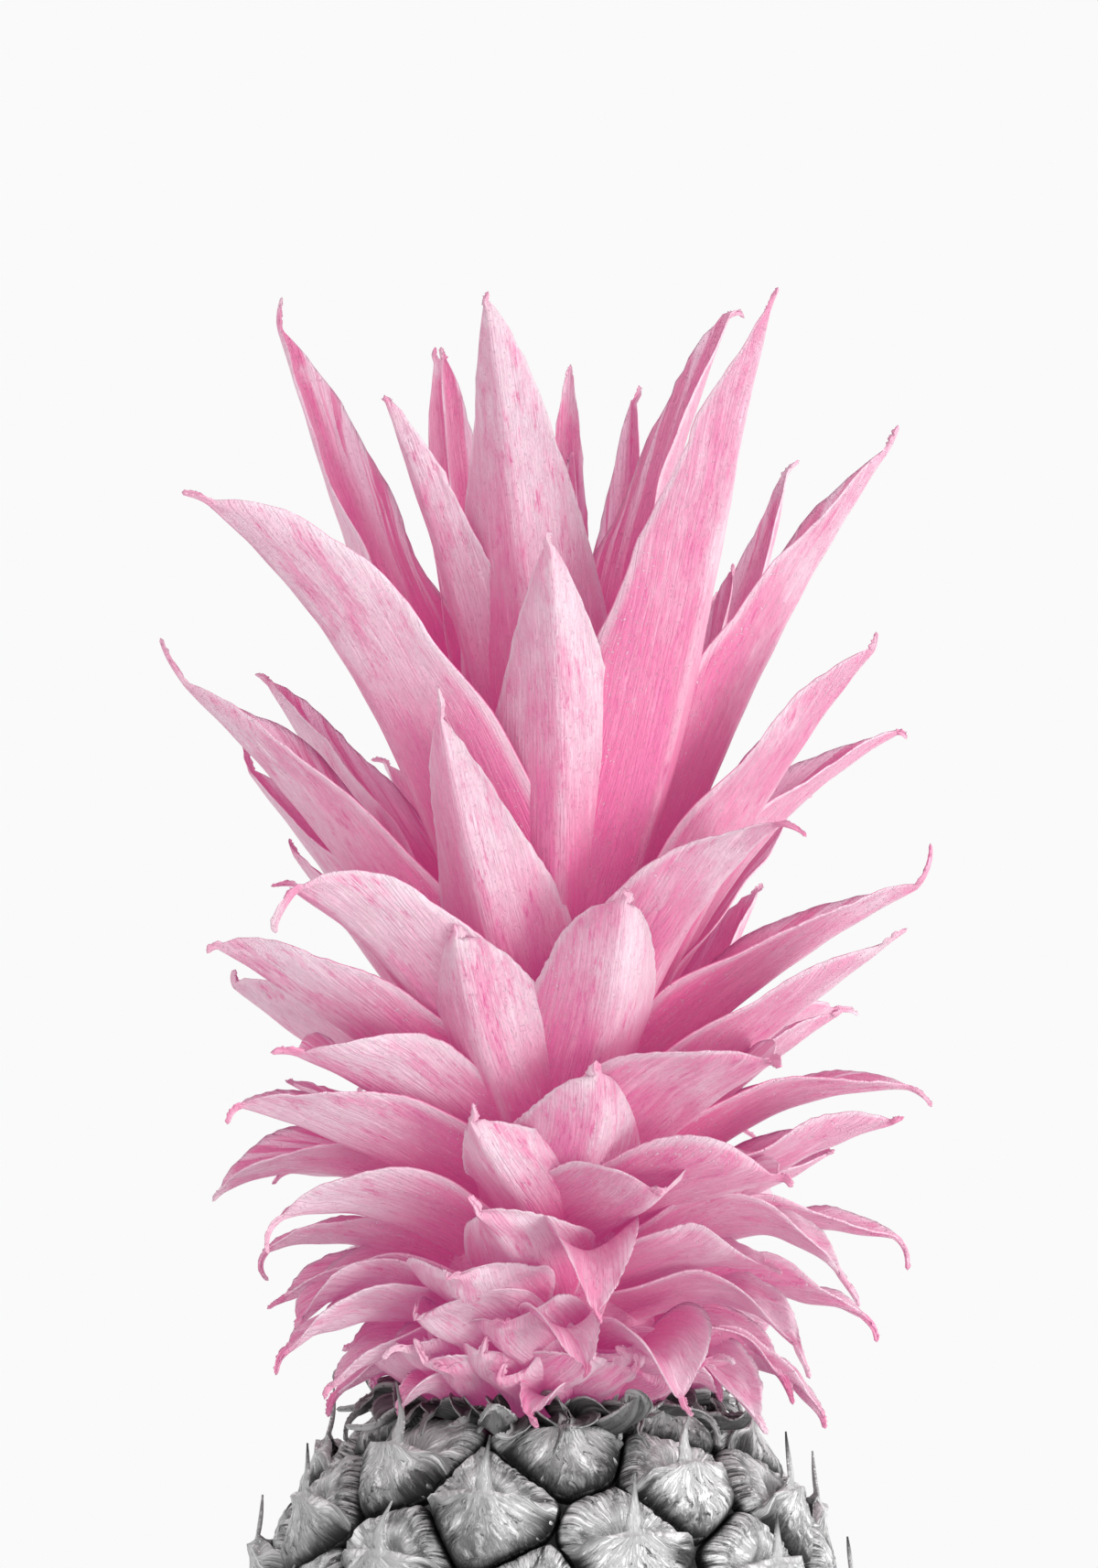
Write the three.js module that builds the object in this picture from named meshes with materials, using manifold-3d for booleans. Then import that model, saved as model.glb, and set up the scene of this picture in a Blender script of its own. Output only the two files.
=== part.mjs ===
import * as THREE from "three";
import { mergeGeometries, mergeVertices } from "three/addons/utils/BufferGeometryUtils.js";
import Module from "manifold-3d";

// A whole pineapple standing on its base, in millimetres, +Z up. Azimuth 0 faces -Y and 90 faces +X.
// The origin is in the middle of the flat spot that the fruit rests on.

const wasm = await Module();
wasm.setup();

// Fruit: half profile from the rim of the flat base to the rim of the flat top, as radius and height.
const FRUIT_PROFILE = [
  [36, 0], [41, 2.2], [46.5, 9], [51.5, 21], [55, 39], [56.6, 60], [56.8, 80],
  [55, 100], [51.5, 116], [47.5, 127], [42.5, 135.5], [36, 142.5], [29, 147.5], [22, 150],
];
const FRUIT_TOP = 150;
const EYES = 132;
const FIRST_EYE = 44;
const GOLDEN_ANGLE = 137.50776;
const GOLDEN_SHARE = 0.618034;
const GROOVE_DEPTH = 2.6;
const EYE_RIM = { scale: 0.8, height: -0.5 };
const EYE_SHOULDER = { scale: 0.4, height: 0.9 };
const SPINE_LENGTH = 8;
const TOP_SPINE_LENGTH = 14;
const SPINE_LIFT = 3.2;
const BASE_CLEARANCE = 0.4;

// Stalk: the cut end of the fruit's stalk, sunk in the base.
const STALK_RADIUS = 14;
const STALK_LENGTH = 12;
const STALK_SIDES = 20;

// Crown: the short stem and the blades on it.
const GAP = 0.3;
const STEM_PROFILE = [[0, 0], [17, 0], [21, 10], [20, 32], [17, 56], [12, 80], [6, 98], [0, 102]];
const STEM_SIDES = 16;
const BLADE_ROOT_RADIUS = 2;
const BLADE_STEPS = [0.16, 0.42, 0.66, 0.88];
const SHORT_BLADE = 60;
const SHORT_BLADE_STEPS = [0.22, 0.56, 0.84];
const BLADE_MID_THICKNESS = 1.6;
const BLADE_EDGE_THICKNESS = 0.8;
const BLADE_HANDLE = 0.4;
const BLADE_NECK = 0.3;
const BLADE_NECK_END = 0.62;
const BLADE_KEEL = 14;
const BLADE_CUP = 30;
const TIP_HALF_WIDTH = 0.35;
const BACK_BLADES = 30;

// One row for each blade that faces forward or sideways: azimuth, height of the root, distance from the
// axis and height of the blade's end, rise in degrees at the root and at the end, width when laid flat,
// fullness of the outline, sideways sway, length of the dried tip and how far that tip turns.
const FRONT_BLADES = [
  // the upright heart
  [-4, 212, 24, 343, 76, 86, 33, 3.8, -9, 2, 0],
  [50, 208, 47, 342, 60, 73, 38, 3.4, 2, 4, -10],
  [-120, 206, 56, 337, 72, 66, 28, 3.0, 0, 8, 40],
  [-50, 210, 36, 324, 78, 62, 22, 3.0, 0, 1, 0],
  [-140, 212, 30, 335, 76, 82, 22, 2.6, 0, 2, 0],
  [176, 212, 24, 332, 78, 84, 18, 2.6, -2, 2, 0],
  [168, 210, 20, 317, 76, 88, 16, 2.6, 0, 1, 0],
  [122, 210, 43, 341, 70, 64, 26, 3.0, 0, 4, -70],
  [92, 202, 59, 317, 62, 56, 34, 2.6, 0, 5, 10],
  [118, 205, 37, 296, 68, 80, 18, 3.0, 0, 2, 0],
  [-57, 204, 68, 306, 60, 44, 42, 3.0, 0, 5, -30],
  // the spreading middle
  [78, 194, 57, 282, 55, 50, 34, 3.0, 0, 3, 30],
  [105, 194, 64, 268, 52, 28, 22, 2.6, 0, 2, -60],
  [50, 188, 50, 252, 56, 34, 38, 3.4, 0, 6, -60],
  [9, 198, 32, 299, 74, 88, 34, 3.6, -5, 4, 60],
  [-21, 188, 33, 270, 68, 84, 29, 3.2, -7, 5, 0],
  [18, 180, 35, 239, 62, 88, 30, 5.5, 2, 2, 0],
  [-19, 178, 34, 233, 62, 84, 28, 4.5, -5, 2, 0],
  [-50, 188, 55, 241, 46, 24, 36, 3.2, 0, 9, -100],
  [-82, 196, 63.5, 276, 54, 44, 34, 2.8, 0, 9, 20],
  [-108, 190, 56, 261, 54, 50, 26, 3.0, 0, 6, 40],
  [-122, 186, 54, 246, 50, 48, 16, 2.6, 0, 3, 20],
  [-70, 188, 60, 231, 40, 30, 30, 4.0, 0, 2, -60],
  [-102, 184, 57, 223, 38, 36, 24, 4.5, 0, 3, 60],
  [-58, 179, 50, 213, 42, 20, 32, 3.2, 0, 5, -20],
  [-66, 176, 57, 204, 30, 14, 32, 3.2, 0, 4, -70],
  [-100, 175, 46, 206, 36, 28, 16, 3.0, 0, 1, 0],
  [12, 172, 34, 210, 58, 88, 26, 4.0, 1, 2, 0],
  [-4, 170, 34, 202, 56, 74, 30, 3.4, -8, 2, 0],
  [24, 170, 42, 187, 50, -10, 32, 5.0, 3, 1, 0],
  [-6, 164, 38, 187, 50, 50, 30, 3.4, -6, 1, 0],
  [48, 174, 51, 210, 44, 14, 38, 3.6, 0, 2, -60],
  [52, 169, 48, 191, 38, 0, 34, 3.8, 0, 2, -60],
  [84, 192, 64, 241, 44, 28, 28, 2.8, 0, 8, 50],
  [72, 181, 60, 231, 43, 36, 30, 3.0, 0, 5, 0],
  [100, 178, 51, 218, 42, 34, 18, 3.6, 0, 2, 0],
  [124, 182, 45, 239, 56, 62, 26, 3.6, 0, 2, 0],
  [86, 174, 62.5, 206, 37, -2, 24, 2.6, 0, 5, -40],
  [74, 168, 61, 201, 33, 20, 26, 3.0, 0, 2, 0],
  [92, 166, 49, 194, 34, 28, 18, 3.0, 0, 1, 0],
  // the bent skirt
  [-86, 175, 57, 188, 24, -28, 22, 3.6, 0, 2, -20],
  [-64, 169, 50, 185, 27, -10, 28, 3.4, 0, 7, -60],
  [-88, 166, 49, 178, 24, -12, 18, 3.2, 0, 6, -90],
  [-78, 162, 47, 170, 24, -22, 18, 3.0, 0, 3, -10],
  [-70, 160, 46, 167, 25, -32, 22, 4.0, 0, 3, -50],
  [-62, 157, 50, 163, 25, -28, 24, 3.2, 0, 5, -35],
  [-60, 154, 43, 157, 24, -32, 20, 3.0, 0, 3, -30],
  [-75, 152, 37, 153, 24, -40, 13, 3.0, 0, 4, -20],
  [86, 166, 60, 180, 28, -14, 18, 2.8, 0, 6, -60],
  [68, 163, 53, 176, 34, -42, 26, 3.4, 0, 7, -25],
  [50, 163, 46, 177, 30, -6, 26, 3.6, 0, 5, 0],
  [80, 160, 55, 167, 26, -22, 18, 2.8, 0, 5, -45],
  [58, 158, 50, 164, 31, -38, 23, 3.2, 0, 6, -30],
  [72, 155, 42, 157, 28, -46, 15, 3.0, 0, 5, -20],
  [76, 153, 48, 151, 24, -44, 14, 3.0, 0, 3, -20],
  [60, 151, 42, 151, 24, -50, 17, 3.0, 0, 3, -10],
  [13, 163, 43, 167, 50, -74, 27, 3.6, 0, 1, 0],
  [-22, 161, 40, 172, 46, 0, 28, 4.0, -3, 3, -60],
  [9, 156, 43, 158, 46, -72, 25, 3.6, 0, 1, 0],
  [32, 156, 46, 155, 46, -62, 26, 3.6, 0, 1, 0],
  [-26, 154, 42, 157, 42, -54, 24, 3.6, 0, 2, 0],
  [-6, 152, 40, 158, 42, -16, 24, 4.0, 0, 1, 0],
  [21, 151, 41, 152, 34, -50, 22, 3.6, 0, 1, 0],
  [-44, 151, 40, 153, 34, -40, 20, 3.4, 0, 2, 0],
  [-13, 151, 38, 151, 26, -36, 18, 3.4, 0, 1, 0],
  [44, 151, 40, 151, 28, -40, 18, 3.4, 0, 1, 0],
  [6, 151, 37, 151, 26, -34, 18, 3.4, 0, 1, 0],
  [-30, 151, 37, 151, 26, -36, 16, 3.4, 0, 1, 0],
];

const up = new THREE.Vector3(0, 0, 1);

function degrees(angle) {
  return THREE.MathUtils.degToRad(angle);
}

function outward(azimuth) {
  return new THREE.Vector3(Math.sin(azimuth), -Math.cos(azimuth), 0);
}

function sideways(azimuth) {
  return new THREE.Vector3(Math.cos(azimuth), Math.sin(azimuth), 0);
}

function seededDraw(seed) {
  let state = seed;
  return () => {
    state = (state * 1664525 + 1013904223) % 4294967296;
    return state / 4294967296;
  };
}

function geometryFrom(points, triangles) {
  const geometry = new THREE.BufferGeometry();
  const numbers = points.flatMap((point) => [point.x, point.y, point.z]);
  geometry.setAttribute("position", new THREE.Float32BufferAttribute(numbers, 3));
  geometry.setIndex(triangles.flat());
  return geometry;
}

function solidFrom(geometry) {
  const bare = geometry.clone();
  bare.deleteAttribute("normal");
  bare.deleteAttribute("uv");
  const merged = mergeVertices(bare, 1e-4);
  return new wasm.Manifold(new wasm.Mesh({
    numProp: 3,
    vertProperties: new Float32Array(merged.getAttribute("position").array),
    triVerts: new Uint32Array(merged.getIndex().array),
  }));
}

function geometryOf(solid) {
  const mesh = solid.getMesh();
  const geometry = new THREE.BufferGeometry();
  geometry.setAttribute("position", new THREE.BufferAttribute(new Float32Array(mesh.vertProperties), 3));
  geometry.setIndex(new THREE.BufferAttribute(new Uint32Array(mesh.triVerts), 1));
  geometry.computeVertexNormals();
  return geometry;
}

// The fruit's profile as a table of radius, height, length along it, area up to there and the stretch
// that turns the skin into a flat map without shear: equal steps of the map look alike on the skin.
function profileTable() {
  const curve = new THREE.SplineCurve(FRUIT_PROFILE.map(([r, z]) => new THREE.Vector2(r, z)));
  const table = curve.getPoints(400).map((p) => ({ r: p.x, z: p.y, length: 0, area: 0, map: 0 }));
  for (let i = 1; i < table.length; i += 1) {
    const [a, b] = [table[i - 1], table[i]];
    const step = Math.hypot(b.r - a.r, b.z - a.z);
    const radius = (a.r + b.r) / 2;
    b.length = a.length + step;
    b.area = a.area + step * radius;
    b.map = a.map + step / radius;
  }
  return table;
}

function lookUp(table, key, value) {
  let high = 1;
  while (high < table.length - 1 && table[high][key] < value) {
    high += 1;
  }
  const [a, b] = [table[high - 1], table[high]];
  const share = THREE.MathUtils.clamp((value - a[key]) / (b[key] - a[key]), 0, 1);
  return {
    r: a.r + share * (b.r - a.r),
    z: a.z + share * (b.z - a.z),
    map: a.map + share * (b.map - a.map),
    tilt: Math.atan2(b.z - a.z, b.r - a.r),
  };
}

// The part of a flat outline that lies on a point's side of the line halfway to its neighbour.
function keepNearer(outline, point, neighbour) {
  const toNeighbour = [neighbour[0] - point[0], neighbour[1] - point[1]];
  const middle = [(neighbour[0] + point[0]) / 2, (neighbour[1] + point[1]) / 2];
  const side = ([x, y]) => (x - middle[0]) * toNeighbour[0] + (y - middle[1]) * toNeighbour[1];
  return clipOutline(outline, side);
}

function clipOutline(outline, side) {
  const kept = [];
  outline.forEach((a, i) => {
    const b = outline[(i + 1) % outline.length];
    const [da, db] = [side(a), side(b)];
    if (da <= 0) {
      kept.push(a);
    }
    if ((da < 0 && db > 0) || (da > 0 && db < 0)) {
      const share = da / (da - db);
      kept.push([a[0] + share * (b[0] - a[0]), a[1] + share * (b[1] - a[1])]);
    }
  });
  return kept;
}

// Eyes sit on a golden-angle spiral with equal skin area each. Each one's outline is the set of points
// nearer to it than to any other eye on the flat map of the skin.
function eyeOutlines(table) {
  const last = table[table.length - 1];
  const centres = [];
  for (let i = 0; i < EYES; i += 1) {
    const spot = lookUp(table, "area", ((i + 0.5) / EYES) * last.area);
    const turn = degrees(FIRST_EYE + i * GOLDEN_ANGLE) % (2 * Math.PI);
    centres.push([turn, spot.map]);
  }
  return centres.map((centre) => {
    const square = [[-1, -1], [1, -1], [1, 1], [-1, 1]];
    let outline = square.map(([x, y]) => [centre[0] + 1.5 * x, centre[1] + 1.5 * y]);
    outline = clipOutline(outline, ([, y]) => -y);
    outline = clipOutline(outline, ([, y]) => y - last.map);
    for (const other of centres) {
      for (const lap of [-2 * Math.PI, 0, 2 * Math.PI]) {
        const near = [other[0] + lap, other[1]];
        const distance = Math.hypot(near[0] - centre[0], near[1] - centre[1]);
        if (distance > 1e-6 && distance < 2) {
          outline = keepNearer(outline, centre, near);
        }
      }
    }
    return { centre, outline: dropShortEdges(outline) };
  });
}

function dropShortEdges(outline) {
  return outline.filter(([x, y], i) => {
    const [a, b] = outline[(i + outline.length - 1) % outline.length];
    return Math.hypot(x - a, y - b) > 1e-7;
  });
}

function skinPoint(table, turn, map, height) {
  const spot = lookUp(table, "map", map);
  const out = outward(turn).multiplyScalar(spot.r + height * Math.sin(spot.tilt));
  return out.addScaledVector(up, spot.z - height * Math.cos(spot.tilt));
}

// The spine rises from the eye's middle along the skin and leans towards upright near the crown.
function spineTip(table, centre, grow, draw) {
  const spot = lookUp(table, "map", centre[1]);
  const out = outward(centre[0]);
  const along = out.clone().multiplyScalar(Math.cos(spot.tilt)).addScaledVector(up, Math.sin(spot.tilt));
  const away = out.clone().multiplyScalar(Math.sin(spot.tilt)).addScaledVector(up, -Math.cos(spot.tilt));
  const high = THREE.MathUtils.smoothstep(spot.z, 105, 138);
  const low = 1 - THREE.MathUtils.smoothstep(spot.z, 4, 30);
  const topmost = THREE.MathUtils.smoothstep(spot.z, 143, 148);
  const length = (SPINE_LENGTH + high * (TOP_SPINE_LENGTH - SPINE_LENGTH)) * (1 - 0.75 * topmost);
  const rise = along.lerp(up, Math.max(0.65 * high, 0.9 * low)).normalize();
  const tip = skinPoint(table, centre[0], centre[1], EYE_SHOULDER.height);
  tip.addScaledVector(rise, length * (0.9 + 0.2 * draw()));
  tip.addScaledVector(away, SPINE_LIFT * (1 - 0.5 * topmost) * (1 - 0.7 * low));
  tip.addScaledVector(sideways(centre[0]), 3 * (draw() - 0.5));
  return tip.addScaledVector(away, grow).addScaledVector(rise, 4 * grow);
}

// The closed skin of the fruit. With grow it is swollen by that much, to clear the crown from it.
function fruitSolid(grow) {
  const table = profileTable();
  const last = table[table.length - 1].map;
  const draw = seededDraw(11);
  const points = [];
  const triangles = [];
  const rims = { low: [], high: [] };
  const add = (point) => points.push(point) - 1;
  for (const { centre, outline } of eyeOutlines(table)) {
    const ring = ({ scale, height }) => outline.map(([x, y]) => {
      const wide = scale * (1 + 0.3 * grow);
      const flat = [centre[0] + wide * (x - centre[0]), centre[1] + wide * (y - centre[1])];
      const point = skinPoint(table, flat[0], flat[1], height + grow);
      point.z = Math.max(point.z, BASE_CLEARANCE);
      return add(point);
    });
    const groove = outline.map(([x, y]) => {
      const end = y < 1e-6 || y > last - 1e-6;
      const index = add(skinPoint(table, x, y, end ? 0 : grow - GROOVE_DEPTH));
      if (end) {
        rims[y < 1 ? "low" : "high"].push(index);
      }
      return index;
    });
    const rings = [groove, ring(EYE_RIM), ring(EYE_SHOULDER)];
    const tip = add(spineTip(table, centre, grow, draw));
    outline.forEach((_, i) => {
      const j = (i + 1) % outline.length;
      for (let k = 0; k < 2; k += 1) {
        const [a, b] = [rings[k], rings[k + 1]];
        triangles.push([a[i], a[j], b[j]], [a[i], b[j], b[i]]);
      }
      triangles.push([rings[2][i], rings[2][j], tip]);
    });
  }
  closeRim(points, triangles, rims.low, 0, false);
  closeRim(points, triangles, rims.high, FRUIT_TOP, true);
  return solidFrom(geometryFrom(points, triangles));
}

// A flat fan over the ends of the rim's outlines. Corners shared by two eyes are used once.
function closeRim(points, triangles, rim, height, facesUp) {
  const turnOf = (index) => Math.atan2(points[index].x, -points[index].y);
  const sorted = [...rim].sort((a, b) => turnOf(a) - turnOf(b));
  const apart = (a, b) => points[a].distanceTo(points[b]) > 1e-3;
  const corners = sorted.filter((index, i) => i === 0 || apart(index, sorted[i - 1]));
  const middle = points.push(new THREE.Vector3(0, 0, height)) - 1;
  corners.forEach((a, i) => {
    const b = corners[(i + 1) % corners.length];
    triangles.push(facesUp ? [a, b, middle] : [b, a, middle]);
  });
}

function stalkGeometry(radius, length) {
  const geometry = new THREE.CylinderGeometry(radius, radius, length, STALK_SIDES);
  return geometry.rotateX(Math.PI / 2);
}

// Where a blade's middle line runs, and the directions across it and off its inner face.
function bladeFrame(row, t) {
  const [azimuth, rootHeight, reach, endHeight, rise0, rise1, , , sway] = row;
  const start = new THREE.Vector2(BLADE_ROOT_RADIUS, rootHeight);
  const end = new THREE.Vector2(reach, endHeight);
  const handle = BLADE_HANDLE * start.distanceTo(end);
  const direction = (rise) => new THREE.Vector2(Math.cos(degrees(rise)), Math.sin(degrees(rise)));
  const line = new THREE.CubicBezierCurve(
    start,
    start.clone().addScaledVector(direction(rise0), handle),
    end.clone().addScaledVector(direction(rise1), -handle),
    end,
  );
  const turn = degrees(azimuth);
  const place = (share) => {
    const flat = line.getPoint(share);
    const point = outward(turn).multiplyScalar(flat.x);
    return point.addScaledVector(sideways(turn), sway * share ** 2.5).addScaledVector(up, flat.y);
  };
  const point = place(t);
  const ahead = place(Math.min(1, t + 0.01)).sub(place(Math.max(0, t - 0.01))).normalize();
  const across = sideways(turn).addScaledVector(ahead, -sideways(turn).dot(ahead)).normalize();
  const inner = new THREE.Vector3().crossVectors(ahead, across);
  return { point, ahead, across, inner };
}

function bladeHalfWidth(width, fullness, t) {
  const shape = (1 - t ** fullness) * (0.84 + 0.16 * Math.sin(Math.PI * 0.9 * t));
  const neck = BLADE_NECK + (1 - BLADE_NECK) * THREE.MathUtils.smoothstep(t, 0.1, BLADE_NECK_END);
  return TIP_HALF_WIDTH + 0.5 * width * shape * neck;
}

// Six corners round the blade: both margins and the keel, on the inner and the outer face.
function bladeSection({ point, across, inner }, half) {
  const slope = degrees(BLADE_KEEL * 0.9 + BLADE_CUP * 0.5);
  const corners = [];
  const margin = (side, offset) => point.clone()
    .addScaledVector(across, side * (half * Math.cos(slope) - offset * Math.sin(slope)))
    .addScaledVector(inner, half * Math.sin(slope) + offset * Math.cos(slope));
  const thin = BLADE_EDGE_THICKNESS / 2;
  const thick = BLADE_MID_THICKNESS / 2;
  corners.push(margin(-1, thin), point.clone().addScaledVector(inner, thick), margin(1, thin));
  corners.push(margin(1, -thin), point.clone().addScaledVector(inner, -thick), margin(-1, -thin));
  return corners;
}

function bladeGeometry(row) {
  const [azimuth, root, reach, height, , rise1, width, fullness, , tipLength, tipTurn] = row;
  const steps = Math.hypot(reach, height - root) < SHORT_BLADE ? SHORT_BLADE_STEPS : BLADE_STEPS;
  const sections = steps.map((t) => bladeSection(bladeFrame(row, t), bladeHalfWidth(width, fullness, t)));
  const end = bladeFrame(row, 1);
  const tipRise = degrees(rise1 + 0.65 * tipTurn);
  end.point.addScaledVector(outward(degrees(azimuth)), Math.cos(tipRise) * tipLength);
  end.point.addScaledVector(up, Math.sin(tipRise) * tipLength);
  sections.push(bladeSection(end, TIP_HALF_WIDTH));
  return geometryFrom(sections.flat(), bladeTriangles(sections.length));
}

// Triangles round and at both ends of a row of six-cornered sections, split alike on both faces.
function bladeTriangles(sectionCount) {
  const triangles = [];
  const corners = 6;
  for (let s = 0; s < sectionCount - 1; s += 1) {
    for (let i = 0; i < corners; i += 1) {
      const a = s * corners + i;
      const b = s * corners + ((i + 1) % corners);
      if (i === 1 || i === 3) {
        triangles.push([a, a + corners, b], [b, a + corners, b + corners]);
      } else {
        triangles.push([a, b + corners, b], [a, a + corners, b + corners]);
      }
    }
  }
  const last = (sectionCount - 1) * corners;
  for (const [a, b, c] of [[0, 1, 5], [1, 4, 5], [1, 2, 4], [2, 3, 4]]) {
    triangles.push([a, b, c], [last + a, last + c, last + b]);
  }
  return triangles;
}

// Blades round the back, from the skirt up to the heart, with a seeded draw for their differences.
function backBlades() {
  const draw = seededDraw(7);
  const rows = [];
  for (let i = 0; i < BACK_BLADES; i += 1) {
    const tier = i / (BACK_BLADES - 1);
    const azimuth = 180 + 128 * ((i * GOLDEN_SHARE) % 1) - 64;
    const root = 154 + 54 * tier;
    const reach = 44 + 50 * tier * (1 - tier) + 4 * draw();
    const lift = tier < 0.35 ? 6 + 50 * tier : 24 + 160 * (tier - 0.35);
    const rise0 = 32 + 42 * tier + 6 * draw();
    const rise1 = -45 + 125 * tier + 14 * draw();
    const width = 22 + 13 * Math.sin(Math.PI * Math.min(1, tier + 0.12)) ** 0.6;
    const sway = 8 * (draw() - 0.5);
    const tip = 3 + 4 * draw();
    rows.push([azimuth, root, reach, root + lift, rise0, rise1, width, 3.2, sway, tip, -30]);
  }
  return rows;
}

function crownSolid() {
  const profile = STEM_PROFILE.map(([r, z]) => new THREE.Vector2(r, z));
  const stem = new THREE.LatheGeometry(profile, STEM_SIDES);
  stem.rotateX(Math.PI / 2);
  stem.translate(0, 0, FRUIT_TOP + GAP);
  let crown = solidFrom(stem);
  for (const row of [...FRONT_BLADES, ...backBlades()]) {
    crown = crown.add(solidFrom(bladeGeometry(row)));
  }
  const trimmed = crown.subtract(fruitSolid(GAP + 0.15));
  const pieces = trimmed.decompose();
  return pieces.reduce((best, piece) => (piece.volume() > best.volume() ? piece : best));
}

const recess = stalkGeometry(STALK_RADIUS + GAP, 2 * (STALK_LENGTH + GAP));
const fruitGeometry = geometryOf(fruitSolid(0).subtract(solidFrom(recess)));
const fruitMaterial = new THREE.MeshStandardMaterial({ color: 0x8f8f8f, roughness: 0.7, metalness: 0 });
const fruit = new THREE.Mesh(fruitGeometry, fruitMaterial);
fruit.name = "fruit";

const crownMaterial = new THREE.MeshStandardMaterial({ color: 0xde9ab3, roughness: 0.55, metalness: 0 });
const crown = new THREE.Mesh(geometryOf(crownSolid()), crownMaterial);
crown.name = "crown";

const stalkMaterial = new THREE.MeshStandardMaterial({ color: 0xb9b4ad, roughness: 0.9, metalness: 0 });
const stalk = new THREE.Mesh(stalkGeometry(STALK_RADIUS, STALK_LENGTH), stalkMaterial);
stalk.name = "stalk";
stalk.position.z = STALK_LENGTH / 2;

const pineapple = new THREE.Group();
pineapple.add(fruit, crown, stalk);

export default pineapple;
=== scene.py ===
"""A whole pineapple: a grey, barrel-shaped fruit with spined eyes and a pink crown of channelled leaves."""

import bpy
import numpy as np
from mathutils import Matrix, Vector


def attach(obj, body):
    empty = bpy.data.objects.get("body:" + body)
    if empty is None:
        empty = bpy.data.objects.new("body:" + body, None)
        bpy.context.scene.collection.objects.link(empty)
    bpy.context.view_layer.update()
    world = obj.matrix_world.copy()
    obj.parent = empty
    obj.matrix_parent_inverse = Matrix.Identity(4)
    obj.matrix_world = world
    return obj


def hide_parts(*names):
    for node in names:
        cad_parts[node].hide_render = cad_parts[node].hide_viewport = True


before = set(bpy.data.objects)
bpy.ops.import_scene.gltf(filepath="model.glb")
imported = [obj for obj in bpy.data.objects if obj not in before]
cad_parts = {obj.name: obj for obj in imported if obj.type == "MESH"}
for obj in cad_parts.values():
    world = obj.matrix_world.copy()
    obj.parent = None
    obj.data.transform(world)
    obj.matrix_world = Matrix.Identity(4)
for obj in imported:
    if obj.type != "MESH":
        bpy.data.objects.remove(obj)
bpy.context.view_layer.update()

MM = 0.001
GOLDEN_ANGLE = 137.50776
GOLDEN_SHARE = 0.618034

# Fruit, in millimetres: half profile, spiral of eyes and length of their spines, as in the solids. The
# grooves between the eyes are deeper than theirs.
FRUIT_PROFILE = np.array([
    [36, 0], [41, 2.2], [46.5, 9], [51.5, 21], [55, 39], [56.6, 60], [56.8, 80],
    [55, 100], [51.5, 116], [47.5, 127], [42.5, 135.5], [36, 142.5], [29, 147.5], [22, 150],
], float)
FRUIT_TOP = 150.0
EYES = 132
FIRST_EYE = 44.0
EYE_CORNERS = 14
EYE_OVERLAP = 1.01
EYE_ROOT_DEPTH = 9.0
GROOVE_DEPTH = 3.3
BRACT_REACH = 0.97
SPINE_LENGTH = 8.0
TOP_SPINE_LENGTH = 14.0
SPINE_LIFT = 3.2
BASE_CLEARANCE = 0.4
STALK_RADIUS = 14.0
STALK_LENGTH = 12.0
STALK_GAP = 0.3

# Collar: small bracts on the fruit's shoulder, and dried ones that curl up from it, each with its azimuth,
# reach, height, tip's length and how far the tip turns.
COLLAR_BRACTS = 34
CURLED_BRACTS = [
    (23, 37, 156, 7, 190), (-17, 35, 154, 5, -120), (70, 38, 152, 6, 90), (150, 36, 155, 6, 160),
    (-110, 36, 155, 6, -110),
]

# The pattern on each eye, bract and blade is read this far from the one before.
EYE_PATTERN_STEP = 41.0
EYE_ROUND_STEP = 5.0
BRACT_PATTERN_STEP = 29.0
BLADE_PATTERN_STEP = 53.0

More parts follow.
